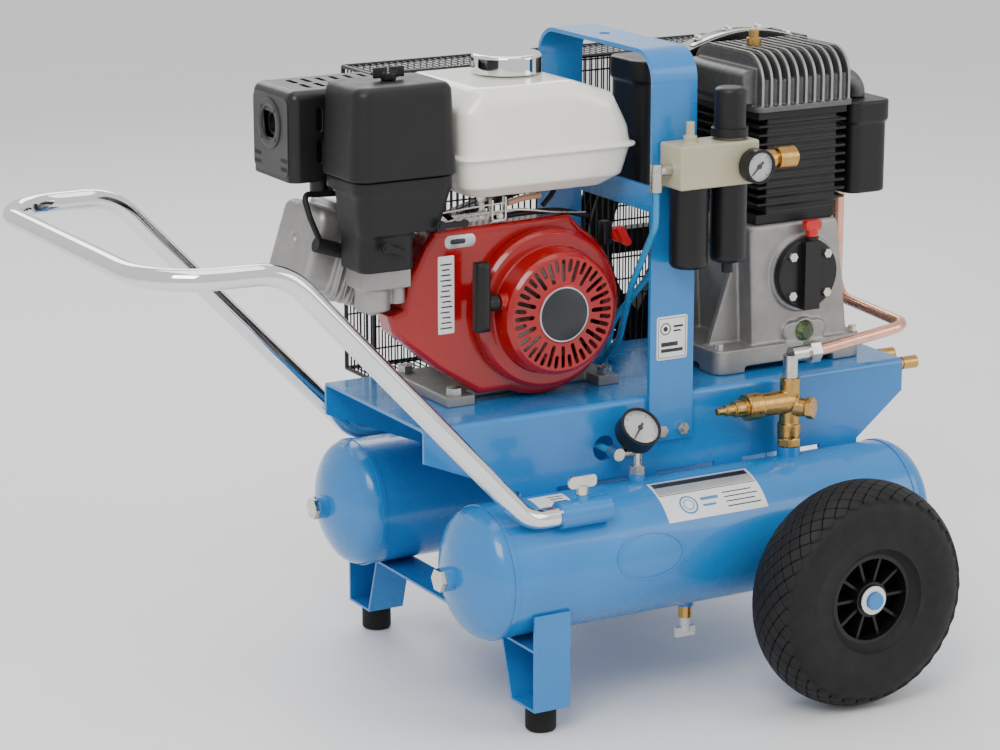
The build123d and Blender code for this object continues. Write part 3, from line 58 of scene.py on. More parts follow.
# ------------------------------------------------------------------ materials
def material(name, color, rough, metal=0.0, vary=0.06, rough_vary=0.06, scale=14.0, coat=0.0,
             grain=0.0, grain_scale=900.0, dents=0.0, dents_scale=60.0, edge=0.0006, spec=0.5,
             tint=None, tint_amount=0.0):
    """Paint, metal, rubber or plastic with uneven colour and gloss, fine grain and soft edges."""
    made = bpy.data.materials.new(name)
    made.use_nodes = True
    nodes, links = made.node_tree.nodes, made.node_tree.links
    shader = nodes["Principled BSDF"]
    shader.inputs["Metallic"].default_value = metal
    shader.inputs["Coat Weight"].default_value = coat
    shader.inputs["Coat Roughness"].default_value = 0.06
    shader.inputs["Specular IOR Level"].default_value = spec
    place = nodes.new("ShaderNodeTexCoord")

    def noise_map(noise_scale, detail, low, high):
        texture = nodes.new("ShaderNodeTexNoise")
        texture.inputs["Scale"].default_value = noise_scale
        texture.inputs["Detail"].default_value = detail
        links.new(place.outputs["Object"], texture.inputs["Vector"])
        remap = nodes.new("ShaderNodeMapRange")
        remap.inputs["From Min"].default_value = 0.3
        remap.inputs["From Max"].default_value = 0.7
        remap.inputs["To Min"].default_value = low
        remap.inputs["To Max"].default_value = high
        links.new(texture.outputs["Fac"], remap.inputs["Value"])
        return texture, remap

    _, shade = noise_map(scale, 5.0, 0.0, 1.0)
    ramp = nodes.new("ShaderNodeMix")
    ramp.data_type = "RGBA"
    ramp.inputs["A"].default_value = [c * (1 - vary) for c in color] + [1]
    ramp.inputs["B"].default_value = [min(1.0, c * (1 + vary)) for c in color] + [1]
    links.new(shade.outputs["Result"], ramp.inputs["Factor"])
    result = ramp.outputs["Result"]
    if tint:
        _, spots = noise_map(scale * 3.1, 8.0, 0.0, tint_amount)
        stain = nodes.new("ShaderNodeMix")
        stain.data_type = "RGBA"
        stain.inputs["B"].default_value = list(tint) + [1]
        links.new(spots.outputs["Result"], stain.inputs["Factor"])
        links.new(result, stain.inputs["A"])
        result = stain.outputs["Result"]
    links.new(result, shader.inputs["Base Color"])
    _, gloss = noise_map(scale * 2.3, 6.0, max(0.02, rough - rough_vary), rough + rough_vary)
    links.new(gloss.outputs["Result"], shader.inputs["Roughness"])

    normal = None
    if edge:
        soft = nodes.new("ShaderNodeBevel")
        soft.samples = 3
        soft.inputs["Radius"].default_value = edge
        normal = soft.outputs["Normal"]
    for strength, bump_scale, depth in ((dents, dents_scale, 0.0006), (grain, grain_scale, 0.00012)):
        if not strength:
            continue
        texture, _ = noise_map(bump_scale, 3.0, 0.0, 1.0)
        bump = nodes.new("ShaderNodeBump")
        bump.inputs["Strength"].default_value = strength
        bump.inputs["Distance"].default_value = depth
        links.new(texture.outputs["Fac"], bump.inputs["Height"])
        if normal:
            links.new(normal, bump.inputs["Normal"])
        normal = bump.outputs["Normal"]
    if normal:
        links.new(normal, shader.inputs["Normal"])
    return made


M = {
    "blue_paint": material("blue_paint", (0.018, 0.190, 0.500), 0.26, vary=0.05, coat=0.4, spec=0.4,
                           dents=0.05, dents_scale=110, grain=0.10, grain_scale=500),
    "red_paint": material("red_paint", (0.300, 0.0010, 0.0020), 0.24, vary=0.10, coat=0.5, spec=0.35,
                          dents=0.05, dents_scale=120, grain=0.05, grain_scale=500),
    "white_paint": material("white_paint", (0.86, 0.835, 0.73), 0.22, vary=0.03, coat=0.7,
                            dents=0.04, dents_scale=90, edge=0.0012),
    "black_paint": material("black_paint", (0.007, 0.007, 0.0075), 0.36, vary=0.15, coat=0.1, spec=0.35,
                            grain=0.12, grain_scale=700),
    "guard_grey": material("guard_grey", (0.030, 0.030, 0.031), 0.42, vary=0.12, grain=0.3),
    "nickel": material("nickel", (0.60, 0.585, 0.55), 0.26, metal=1.0, vary=0.08, rough_vary=0.10,
                       scale=60, tint=(0.42, 0.36, 0.28), tint_amount=0.3, grain=0.15, edge=0.0005),
    "beige_paint": material("beige_paint", (0.42, 0.385, 0.26), 0.36, vary=0.05, grain=0.2,
                            grain_scale=800),
    "chrome": material("chrome", (0.80, 0.81, 0.82), 0.07, metal=1.0, vary=0.03, rough_vary=0.035,
                       scale=22, dents=0.02, dents_scale=70),
    "zinc": material("zinc", (0.66, 0.66, 0.63), 0.30, metal=1.0, vary=0.10, rough_vary=0.10,
                     scale=90, tint=(0.72, 0.62, 0.42), tint_amount=0.35, grain=0.15, edge=0.0005),
    "steel": material("steel", (0.42, 0.42, 0.42), 0.34, metal=1.0, vary=0.12, scale=60, grain=0.2),
    "cast_aluminium": material("cast_aluminium", (0.34, 0.33, 0.315), 0.46, metal=0.75, vary=0.08,
                               scale=40, grain=0.65, grain_scale=520, dents=0.10, dents_scale=150,
                               tint=(0.25, 0.25, 0.24), tint_amount=0.22, edge=0.001),
    "dark_aluminium": material("dark_aluminium", (0.105, 0.106, 0.108), 0.44, metal=0.7, vary=0.10,
                               scale=50, grain=0.55, grain_scale=560, edge=0.001,
                               tint=(0.24, 0.24, 0.23), tint_amount=0.25),
    "black_iron": material("black_iron", (0.006, 0.006, 0.0065), 0.44, vary=0.15, spec=0.35, scale=30,
                           grain=0.40, grain_scale=480, edge=0.0008),
    "copper": material("copper", (0.86, 0.46, 0.34), 0.24, metal=1.0, vary=0.08, rough_vary=0.10,
                       scale=30, tint=(0.50, 0.22, 0.14), tint_amount=0.35, edge=0),
    "brass": material("brass", (0.54, 0.32, 0.095), 0.30, metal=1.0, vary=0.09, rough_vary=0.10,
                      scale=60, tint=(0.36, 0.22, 0.09), tint_amount=0.35, grain=0.25, edge=0.0006),
    "tyre": material("tyre", (0.005, 0.005, 0.0055), 0.62, spec=0.3, vary=0.18, scale=26, grain=0.35,
                     grain_scale=650, tint=(0.016, 0.0155, 0.015), tint_amount=0.30, edge=0.0006),
    "foot_rubber": material("foot_rubber", (0.005, 0.005, 0.005), 0.66, spec=0.3, vary=0.20, grain=0.4),
    "black_rubber": material("black_rubber", (0.005, 0.005, 0.0055), 0.52, spec=0.3, vary=0.20, grain=0.25),
    "black_plastic": material("black_plastic", (0.006, 0.006, 0.0065), 0.38, vary=0.14, spec=0.35, scale=30,
                              grain=0.30, grain_scale=1300, edge=0.0008),
    "satin_black_plastic": material("satin_black_plastic", (0.0065, 0.0068, 0.0075), 0.46, spec=0.35,
                                    vary=0.10, scale=20, grain=0.55, grain_scale=1500, edge=0.0012),
    "red_plastic": material("red_plastic", (0.55, 0.012, 0.014), 0.30, vary=0.08, grain=0.12),
    "white_plastic": material("white_plastic", (0.74, 0.74, 0.72), 0.38, vary=0.04, grain=0.15),
    "blue_hose": material("blue_hose", (0.020, 0.235, 0.480), 0.26, vary=0.08, scale=30, edge=0),
    "label_white": material("label_white", (0.74, 0.75, 0.74), 0.36, vary=0.03, scale=60, edge=0),
    "label_silver": material("label_silver", (0.50, 0.52, 0.53), 0.30, metal=0.5, vary=0.04, edge=0),
    "label_dark": material("label_dark", (0.012, 0.014, 0.017), 0.34, vary=0.08, scale=60, edge=0),
    "label_blue": material("label_blue", (0.05, 0.22, 0.45), 0.34, vary=0.05, scale=60, edge=0),
    "label_yellow": material("label_yellow", (0.75, 0.50, 0.03), 0.34, vary=0.05, edge=0),
    "dial_white": material("dial_white", (0.80, 0.80, 0.78), 0.45, vary=0.02, scale=80, edge=0),
    "tan_tube": material("tan_tube", (0.42, 0.25, 0.15), 0.40, vary=0.10, scale=60, edge=0),
}


def glass_material(name, color, rough, weight):
    """Clear material; weight is the share of light that passes through."""
    made = material(name, color, rough, vary=0.05, edge=0)
    shader = made.node_tree.nodes["Principled BSDF"]
    shader.inputs["Transmission Weight"].default_value = weight
    shader.inputs["IOR"].default_value = 1.47
    return made


M["sight_glass"] = glass_material("sight_glass", (0.16, 0.24, 0.10), 0.05, 0.75)
M["lens"] = glass_material("lens", (0.97, 0.98, 0.98), 0.02, 1.0)


# ------------------------------------------------------------------ mesh building, in millimetres
def basis(origin, z_dir=(0, 0, 1), x_dir=(1, 0, 0)):
    """Placement whose local Z is z_dir and whose local X is as near x_dir as it can be."""
    z = Vector(z_dir).normalized()
    x = Vector(x_dir) - z * Vector(x_dir).dot(z)
    if x.length < 1e-6:
        x = Vector((0, 1, 0)) - z * z.y
    x.normalize()
    y = z.cross(x)
    turned = Matrix((x, y, z)).transposed().to_4x4()
    return Matrix.Translation(Vector(origin)) @ turned


def smooth_path(points, steps=6):
    """Catmull-Rom line through the points."""
    points = [Vector(p) for p in points]
    padded = [points[0] * 2 - points[1]] + points + [points[-1] * 2 - points[-2]]
    line = []
    for i in range(1, len(padded) - 2):
        a, b, c, d = padded[i - 1:i + 3]
        for k in range(steps):
            t = k / steps
            line.append(0.5 * (2 * b + (c - a) * t + (2 * a - 5 * b + 4 * c - d) * t * t
                               + (3 * b - a - 3 * c + d) * t ** 3))
    line.append(points[-1])
    return line


def turn_angles(count):
    """Equal steps of one full turn."""
    return [2 * math.pi * i / count for i in range(count)]


def circle_points(r, count):
    """Points of a circle about the origin."""
    return [(r * math.cos(a), r * math.sin(a)) for a in turn_angles(count)]


def round_rect(width, height, radius, steps=5):
    """Outline of a rounded rectangle about the origin."""
    outline = []
    for cx, cy, start in ((1, 1, 0), (-1, 1, 90), (-1, -1, 180), (1, -1, 270)):
        for i in range(steps + 1):
            angle = math.radians(start + 90 * i / steps)
            outline.append((cx * (width / 2 - radius) + radius * math.cos(angle),
                            cy * (height / 2 - radius) + radius * math.sin(angle)))
    return outline


class Shape:
    """One piece under construction."""

    def __init__(self):
        self.bm = bmesh.new()

    def loops(self, rings, closed=False):
        """Skin through rings of equal point counts, capped at both ends or joined into a ring."""
        rows = [[self.bm.verts.new(Vector(p) * MM) for p in ring] for ring in rings]
        pairs = list(zip(rows, rows[1:])) + ([(rows[-1], rows[0])] if closed else [])
        for low, high in pairs:
            for i in range(len(low)):
                j = (i + 1) % len(low)
                self.bm.faces.new((low[i], low[j], high[j], high[i]))
        if not closed:
            self.bm.faces.new(list(reversed(rows[0])))
            self.bm.faces.new(rows[-1])
        return self

    def lathe(self, profile, place, count=48, closed=False):
        """Turned shape; profile is (radius, height) along the placement's local Z."""
        rings = []
        for r, h in profile:
            rings.append([place @ Vector((x, y, h)) for x, y in circle_points(max(r, 0.01), count)])
        return self.loops(rings, closed=closed)

    def prism(self, outline, place, depth, chamfer=0.0, base_chamfer=0.0):
        """Outline in the placement's local XY, raised along Z with softened rims."""
        cx = sum(p[0] for p in outline) / len(outline)
        cy = sum(p[1] for p in outline) / len(outline)
        reach = max(math.hypot(p[0] - cx, p[1] - cy) for p in outline)

        def ring(inset, h):
            k = 1 - inset / reach
            return [place @ Vector((cx + (x - cx) * k, cy + (y - cy) * k, h)) for x, y in outline]

        rings = []
        if base_chamfer:
            rings += [ring(base_chamfer, 0), ring(0, base_chamfer)]
        else:
            rings.append(ring(0, 0))
        if chamfer:
            rings += [ring(0, depth - chamfer), ring(chamfer * 0.3, depth - chamfer * 0.3),
                      ring(chamfer, depth)]
        else:
            rings.append(ring(0, depth))
        return self.loops(rings)

    def box(self, x0, x1, y0, y1, z0, z1, chamfer=0.8):
        """Block between two corners, with softened edges."""
        place = basis(((x0 + x1) / 2, (y0 + y1) / 2, z0))
        width, depth = abs(x1 - x0), abs(y1 - y0)
        outline = round_rect(width, depth, min(chamfer, width / 2.2, depth / 2.2), 2)
        return self.prism(outline, place, z1 - z0, chamfer, chamfer)

    def tube(self, points, r, count=10, closed=False):
        """Round wire or pipe along a line of points; r may be one radius or one per point."""
        points = [Vector(p) for p in points]
        radii = r if isinstance(r, (list, tuple)) else [r] * len(points)
        normal = None
        rings = []
        for i, p in enumerate(points):
            before = points[i - 1] if (i or closed) else p
            after = points[(i + 1) % len(points)] if (i < len(points) - 1 or closed) else p
            along = (after - before).normalized()
            if normal is None:
                normal = along.orthogonal().normalized()
            normal = (normal - along * normal.dot(along)).normalized()
            side = along.cross(normal)
            rings.append([p + (normal * math.cos(a) + side * math.sin(a)) * radii[i]
                          for a in turn_angles(count)])
        return self.loops(rings, closed=closed)

    def hexagon(self, place, across, height, washer=0.0):
        """Hexagon head with a turned crown, on an optional washer."""
        r = across / math.sqrt(3)
        lift = 0.0
        if washer:
            self.lathe([(0.01, 0), (washer, 0), (washer, 1.4), (washer - 0.4, 1.7), (0.01, 1.7)], place, 28)
            lift = 1.7
        rings = []
        for k, h in ((1.0, 0), (1.0, height * 0.8), (0.93, height * 0.93), (0.80, height)):
            rings.append([place @ Vector((x * k, y * k, h + lift)) for x, y in circle_points(r, 6)])
        return self.loops(rings)

    def piece(self, name, mat, body="frame", slot=None, angle=SHARP_ANGLE, replaces=()):
        """Finish the shape as one visible piece."""
        bmesh.ops.recalc_face_normals(self.bm, faces=self.bm.faces)
        mesh = bpy.data.meshes.new(name)
        self.bm.to_mesh(mesh)
        self.bm.free()
        return settle(name, mesh, mat, body, angle, replaces)


def settle(name, mesh, mat, body, angle=SHARP_ANGLE, replaces=()):
    """Put a mesh in the scene with its material, body and the CAD nodes that it replaces."""
    mesh.polygons.foreach_set("use_smooth", [True] * len(mesh.polygons))
    mesh.set_sharp_from_angle(angle=math.radians(angle))
    made = bpy.data.objects.new(name, mesh)
    bpy.context.scene.collection.objects.link(made)
    mesh.materials.clear()
    mesh.materials.append(M[mat])
    if body:
        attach(made, body)
    if replaces:
        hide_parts(*replaces)
    return made


def soften(node, voxel, passes, keep):
    """Cast or moulded version of a CAD node, with its edges rounded over."""
    source = NODES[node]
    copy = bpy.data.objects.new("tmp_" + node, source.data.copy())
    bpy.context.scene.collection.objects.link(copy)
    remesh = copy.modifiers.new("remesh", "REMESH")
    remesh.mode = "VOXEL"
    remesh.voxel_size = voxel * MM
    smooth = copy.modifiers.new("smooth", "SMOOTH")
    smooth.factor = 0.5
    smooth.iterations = passes
    thin = copy.modifiers.new("thin", "DECIMATE")
    thin.ratio = keep
    depsgraph = bpy.context.evaluated_depsgraph_get()
    mesh = bpy.data.meshes.new_from_object(copy.evaluated_get(depsgraph))
    bpy.data.objects.remove(copy)
    mesh.name = node + "_form"
    settle(node + "_form", mesh, SLOT_OF[node], BODY_OF[node], SOFT_ANGLE, (node,))


# ------------------------------------------------------------------ CAD nodes that keep their shape
for name, item in NODES.items():
    item.data.materials.clear()
    item.data.materials.append(M[SLOT_OF[name]])

# node, voxel size in millimetres, smoothing passes, part of the faces kept
SOFT = (
    ("fuel_tank", 1.6, 8, 0.35), ("air_cleaner_cover", 1.5, 5, 0.4), ("air_cleaner_base", 1.7, 6, 0.4),
    ("fan_cover", 1.1, 7, 0.3), ("recoil_cover", 0.8, 3, 0.3), ("recoil_handle", 1.2, 9, 0.6),
    ("engine_head", 1.5, 8, 0.5), ("engine_block", 1.6, 3, 0.4), ("carburettor", 1.2, 3, 0.6),
    ("pump_crankcase", 1.5, 5, 0.35), ("pump_head", 1.2, 2, 0.4), ("pump_cylinder", 1.2, 2, 0.4),
    ("pump_filters", 1.8, 6, 0.4), ("muffler_guard", 0.9, 4, 0.3), ("frl_body", 0.8, 1, 0.5),
    ("air_cleaner_nut", 1.0, 4, 0.6), ("pump_dipstick", 0.8, 3, 0.6), ("pilot_valve", 0.8, 2, 0.6),
)
for node, voxel, passes, keep in SOFT:
    soften(node, voxel, passes, keep)


# ------------------------------------------------------------------ nickel fittings among the brass
def retint(node, rules):
    """Copy of a CAD node that takes another metal inside some boxes, in millimetres."""
    mesh = NODES[node].data.copy()
    settle(node + "_form", mesh, SLOT_OF[node], BODY_OF[node], SHARP_ANGLE, (node,))
    for mat, low, high in rules:
        mesh.materials.append(M[mat])
        for face in mesh.polygons:
            centre = face.center / MM
            if all(a <= v <= b for a, v, b in zip(low, centre, high)):
                face.material_index = len(mesh.materials) - 1


retint("brass_fittings", (
    ("nickel", (55, -178, 262), (129, -132, 312)),
    ("nickel", (305, -172, 356.1), (362, -132, 402)),
    ("nickel", (112, -178, 594), (144.7, -132, 642)),
))


# ------------------------------------------------------------------ wheels
TYRE_CENTRES = {"left": (309.5, -311, 135), "right": (309.5, 311, 135)}
TYRE_R = 135
CROWN_BEND = 54.97
RIM_EDGE = 54.0
TREAD_COUNT = 38
TREAD_ROWS = range(-33, 34, 7)
TREAD_EDGE = 37.0
GROOVE = 3.6
HUB_FACE = 343.5


def crown(y):
    """Radius of the tread at y from the middle of the tyre."""
    return TYRE_R - CROWN_BEND + math.sqrt(CROWN_BEND ** 2 - y * y)


for side, centre in TYRE_CENTRES.items():
    place = basis(centre, (0, 1, 0))
    tyre = Shape()
    sidewall = [(RIM_EDGE, -30), (60, -35), (63, -40.5), (66, -40.2), (72, -41), (84, -42.6),
                (87, -43.4), (90, -43), (98, -43.4), (108, -41.5), (114, -39.5)]
    across = [(crown(y) - GROOVE, y) for y in range(-36, 37, 4)]
    tyre.lathe(sidewall + across + [(r, -h) for r, h in reversed(sidewall)] + [(RIM_EDGE, 30)],
               place, 96, closed=True)
    for row, y in enumerate(TREAD_ROWS):
        for k in range(TREAD_COUNT):
            middle = k + (0.5 if row % 2 else 0.0)
            corners = [(-0.43, -0.6), (-0.04, -6.0), (0.04, -6.0), (0.43, -0.6),
                       (0.43, 0.6), (0.04, 6.0), (-0.04, 6.0), (-0.43, 0.6)]
            rings = []
            for lift, shrink in ((-4.4, 1.0), (-0.8, 1.0), (0.0, 0.86)):
                ring = []
                for t, w in corners:
                    offset = max(-TREAD_EDGE, min(TREAD_EDGE, y + w * shrink))
                    angle = 2 * math.pi * (middle + t * shrink) / TREAD_COUNT
                    r = crown(max(-36, min(36, offset))) + lift
                    ring.append(place @ Vector((r * math.cos(angle), r * math.sin(angle), offset)))
                rings.append(ring)
            tyre.loops(rings)
    tyre.piece("tyre_" + side + "_tread", "tyre", "wheel_" + side, angle=30, replaces=("tyre_" + side,))
    out = -1 if side == "left" else 1
    hub = basis((centre[0], out * HUB_FACE, centre[2]), (0, out, 0))
    Shape().lathe([(10.6, 0), (17, 0), (17, 1.4), (16.4, 2), (11, 2), (10.6, 1.4)], hub, 40,
                  closed=True).piece("axle_ring_" + side, "white_plastic", "wheel_" + side)


# ------------------------------------------------------------------ wire belt guard
GUARD_LEFT, GUARD_RIGHT, GUARD_LOW, GUARD_TOP = -88.0, 539.5, 278.0, 713.0
GUARD_NEAR, GUARD_FAR = 139.5, 214.5
FLOOR_HIGH, STEP_START, STEP_END = 334.0, 150.0, 240.0
EDGE = 3  # from the guard's outline to the middle of its edge rod
WIRE_R, CROSS_R, EDGE_R = 1.0, 1.2, 2.6
WIRE_STEP, CROSS_STEP = 8.6, 48.0
SHAFTS = ((32, 458, 36), (382, 464, 42))  # x, z and radius of the openings round the shafts


def guard_floor(x):
    """Lower edge of the guard at x."""
    if x < STEP_START:
        return FLOOR_HIGH
    return FLOOR_HIGH - (min(x, STEP_END) - STEP_START) / (STEP_END - STEP_START) * (FLOOR_HIGH - GUARD_LOW)


def split_range(low, high, centre, reach):
    """The stretches of a wire that are left outside a round opening."""
    if reach <= 0:
        return [(low, high)]
    return [(a, b) for a, b in ((low, centre - reach), (centre + reach, high)) if b - a > 2]


GUARD_CORNERS = (
    (GUARD_LEFT + EDGE, GUARD_TOP - EDGE), (GUARD_RIGHT - EDGE, GUARD_TOP - EDGE),
    (GUARD_RIGHT - EDGE, GUARD_LOW + EDGE), (STEP_END, GUARD_LOW + EDGE),
    (STEP_START, FLOOR_HIGH + EDGE), (GUARD_LEFT + EDGE, FLOOR_HIGH + EDGE),
)
wires = Shape()
for y, holes in ((GUARD_NEAR, SHAFTS), (GUARD_FAR, ())):
    x = GUARD_LEFT + 5
    while x < GUARD_RIGHT - EDGE:
        spans = [(guard_floor(x) + 2, GUARD_TOP - 2)]
        for hx, hz, r in holes:
            reach = math.sqrt(r * r - (x - hx) ** 2) if abs(x - hx) < r else 0
            spans = [part for a, b in spans for part in split_range(a, b, hz, reach)]
        for a, b in spans:
            wires.tube([(x, y, a), (x, y, b)], WIRE_R, 6)
        x += WIRE_STEP
    z = GUARD_LOW + 30
    while z < GUARD_TOP - 10:
        slope = (STEP_END - STEP_START) / (FLOOR_HIGH - GUARD_LOW)
        start = GUARD_LEFT + 2 if z > FLOOR_HIGH + 2 else STEP_START + (FLOOR_HIGH - z) * slope
        spans = [(start, GUARD_RIGHT - 2)]
        for hx, hz, r in holes:
            reach = math.sqrt(r * r - (z - hz) ** 2) if abs(z - hz) < r else 0
            spans = [part for a, b in spans for part in split_range(a, b, hx, reach)]
        for a, b in spans:
            wires.tube([(a, y + 1.6, z), (b, y + 1.6, z)], CROSS_R, 6)
        z += CROSS_STEP
    for hx, hz, r in holes:
        circle = [(hx + (r + 1) * math.cos(a), y + 0.6, hz + (r + 1) * math.sin(a))
                  for a in turn_angles(40)]
        wires.tube(circle, 1.8, 8, closed=True)
    edge = [(x, y, z) for x, z in GUARD_CORNERS]
    for a, b in zip(edge, edge[1:] + edge[:1]):
        wires.tube([a, b], EDGE_R, 8)
for x, z in GUARD_CORNERS:
    wires.tube([(x, GUARD_NEAR, z), (x, GUARD_FAR, z)], EDGE_R, 8)
x = GUARD_LEFT + 5
while x < GUARD_RIGHT - EDGE:
    for z in (GUARD_TOP - EDGE, guard_floor(x) + EDGE):
        wires.tube([(x, GUARD_NEAR, z), (x, GUARD_FAR, z)], WIRE_R, 6)
    x += WIRE_STEP
for y in range(148, 212, 9):
    for x, low in ((GUARD_LEFT + EDGE, FLOOR_HIGH), (GUARD_RIGHT - EDGE, GUARD_LOW)):
        wires.tube([(x, y, low + EDGE), (x, y, GUARD_TOP - EDGE)], WIRE_R, 6)
wires.piece("belt_guard_wires", "black_paint", angle=50, replaces=("belt_guard",))

ARCH = [(298 + 210 * i / 24, 712 + 24 * math.sin(math.pi * i / 24)) for i in range(25)]
hood = Shape()
hood.loops([[(x, 70, z - 3), (x, 104, z - 3), (x, 104, z), (x, 70, z)] for x, z in ARCH])
back = basis((0, 106.5, 0), (0, -1, 0))
hood.prism([(298, 560), (508, 560)] + [(x, z - 2) for x, z in reversed(ARCH)], back, 2.5)
hood.box(500, 538.5, 92, 138, 700, 703.5)
hood.piece("belt_guard_hood", "black_paint")
rail = Shape()
rail.loops([[(x, 76, z), (x, 84, z), (x, 84, z + 1.4), (x, 76, z + 1.4)] for x, z in ARCH[3:22]])
for i in (5, 10, 15, 20):
    x, z = ARCH[i]
    rail.hexagon(basis((x, 92, z)), 9, 4.5, 6.5)
rail.piece("belt_guard_rail", "zinc")


# ------------------------------------------------------------------ gauge faces
def gauge_face(name, origin, z_dir, r):
    """Dial, plain ticks, bezel and lens of a gauge of radius r, set back from its front."""
    place = basis(origin, z_dir)

    def at(h):
        return place @ Matrix.Translation((0, 0, h))

    Shape().prism(circle_points(r - 2.6, 48), at(-4.0), 0.35).piece(name + "_face", "dial_white")
    marks = Shape()
    for i in range(28):
        angle = math.radians(225 - 10 * i)
        inner, wide = (0.60, 0.45) if i % 9 == 0 else ((0.68, 0.28) if i % 3 == 0 else (0.74, 0.18))
        along = Vector((math.cos(angle), math.sin(angle)))
        side = Vector((-math.sin(angle), math.cos(angle)))
        outline = [along * (r * inner) - side * wide, along * (r * 0.82) - side * wide,
                   along * (r * 0.82) + side * wide, along * (r * inner) + side * wide]
        marks.prism([(p.x, p.y) for p in outline], at(-3.7), 0.12)
    marks.prism(circle_points(r * 0.09, 20), at(-3.7), 0.5)
    marks.piece(name + "_marks", "label_dark")
    Shape().lathe([(r - 3.2, -1.6), (r - 1.9, -1.2), (r - 1.9, 0.5), (r - 2.6, 0.9), (r - 3.2, 0.4)],
                  place, 48, closed=True).piece(name + "_bezel", "black_plastic")
    Shape().prism(circle_points(r - 2.9, 48), at(-1.4), 0.6, 0.1).piece(name + "_lens", "lens")


TILT = math.radians(43)
gauge_face("tank_gauge", (104, -164, 328), (0, -math.cos(TILT), math.sin(TILT)), 25)
gauge_face("frl_gauge", (240, -198, 625), (0, -1, 0), 20)


# ------------------------------------------------------------------ labels, badge and plates
def flat_label(name, mat, x0, x1, z0, z1, y, radius=1.5, thick=0.35):
    """Rounded plate that faces the camera side, with its back at y."""
    place = basis(((x0 + x1) / 2, y, (z0 + z1) / 2), (0, -1, 0))
    Shape().prism(round_rect(x1 - x0, z1 - z0, radius), place, thick, 0.05).piece(name, mat)


flat_label("strip_label", "label_white", -106, -85, 440, 531, -59.9)
marks = Shape()
for k in range(13):
    marks.box(-103 + (k % 3), -88 - (k % 4), -60.45, -60.2, 446 + 6.2 * k, 447.6 + 6.2 * k, 0.05)
marks.piece("strip_label_marks", "label_dark")
flat_label("start_plate", "label_silver", -97, -57, 539, 554, -59.8, 6.5, 0.5)
flat_label("start_plate_slot", "label_dark", -90, -70, 543.5, 549.5, -60.25, 2.8, 0.15)
flat_label("noise_label", "label_white", 145, 187, 393, 445, -130.2, 3, 0.35)
marks = Shape()
for x0, x1, z0, z1 in ((147, 185, 442.2, 442.8), (147, 185, 395.2, 395.8), (147, 147.6, 395, 443),
                       (184.4, 185, 395, 443), (168, 181, 431, 433.5), (168, 178, 426, 428),
                       (151, 181, 402, 406), (151, 174, 409, 414)):
    marks.box(x0, x1, -130.75, -130.5, z0, z1, 0.05)
sound = basis((157, -130.5, 430), (0, -1, 0))
marks.lathe([(6.0, 0), (7.2, 0), (7.2, 0.25), (6.0, 0.25)], sound, 32, closed=True)
marks.lathe([(0.01, 0), (3.0, 0), (3.0, 0.25), (0.01, 0.25)], sound, 24)
marks.piece("noise_label_marks", "label_dark")

badge = basis((32, -109.3, 458), (0, -1, 0))
Shape().prism(circle_points(31.0, 64), badge, 0.8, 0.3).piece("badge_disc", "label_dark")
Shape().lathe([(30.8, 0), (32.4, 0), (32.4, 0.9), (31.8, 1.2), (30.8, 0.9)], badge, 64, closed=True).piece(
    "badge_ring", "label_silver")

TANK_AXIS_Y, TANK_AXIS_Z, TANK_SKIN = -159.5, 183.0, 77.5
PATCH_THICK = 0.2


def on_tank(x, degrees, lift):
    """Point above the near tank's skin, at an angle above its front."""
    a = math.radians(degrees)
    return (x, TANK_AXIS_Y - (TANK_SKIN + lift) * math.cos(a), TANK_AXIS_Z + (TANK_SKIN + lift) * math.sin(a))


def tank_patch(shape, x0, x1, a0, a1, lift):
    """Sheet wrapped on the near tank between two places along it and two angles above its front."""
    steps = max(2, int(abs(a1 - a0) / 2.5))
    angles = [a0 + (a1 - a0) * i / steps for i in range(steps + 1)]
    rings = []
    for x in (x0, x1):
        rings.append([on_tank(x, a, lift) for a in angles]
                     + [on_tank(x, a, lift - PATCH_THICK) for a in reversed(angles)])
    return shape.loops(rings)


def tank_ring(shape, x, angle, half_x, half_a, band, lift, thick, count=40):
    """Oval band on the near tank."""
    per_degree = TANK_SKIN * math.pi / 180
    rings = []
    for t in turn_angles(count):
        ring = []
        for grow, h in ((0, lift - thick), (0, lift), (band, lift), (band, lift - thick)):
            ring.append(on_tank(x + (half_x - grow) * math.cos(t),
                                angle + (half_a - grow / per_degree) * math.sin(t), h))
        rings.append(ring)
    return shape.loops(rings, closed=True)


tank_patch(Shape(), 106, 243, 34, 80, 0.25).piece("name_plate", "label_white")
tank_patch(Shape(), 108, 241, 62, 79, 0.40).piece("name_plate_top", "label_silver")
marks = tank_patch(Shape(), 110, 239, 71.5, 77.5, 0.52)
tank_patch(marks, 108, 241, 60.6, 61.3, 0.45)
for k in range(4):
    tank_patch(marks, 190, 236 - 6 * (k % 2), 40 + 4.6 * k, 41.0 + 4.6 * k, 0.45)
marks.piece("name_plate_marks", "label_dark")
marks = tank_ring(Shape(), 140, 48, 12, 9.0, 2.2, 0.45, 0.2)
tank_ring(marks, 140, 48, 7, 5.2, 1.2, 0.45, 0.2)
tank_patch(marks, 158, 182, 50, 53, 0.45)
tank_patch(marks, 158, 176, 44, 46, 0.45)
marks.piece("name_plate_ring", "label_blue")
tank_patch(Shape(), -44, 0.8, 63, 92, 0.25).piece("warning_label", "label_white")
marks = Shape()
for k in range(5):
    tank_patch(marks, -22, -3 - 3 * (k % 2), 67 + 4.6 * k, 68.2 + 4.6 * k, 0.45)
marks.piece("warning_label_marks", "label_dark")
SIGN_CORNERS = ((-41, 68), (-26, 68), (-33.5, 79))
sign = [[on_tank(x, a, lift) for x, a in SIGN_CORNERS] for lift in (0.25, 0.45)]
Shape().loops(sign).piece("warning_label_sign", "label_yellow")
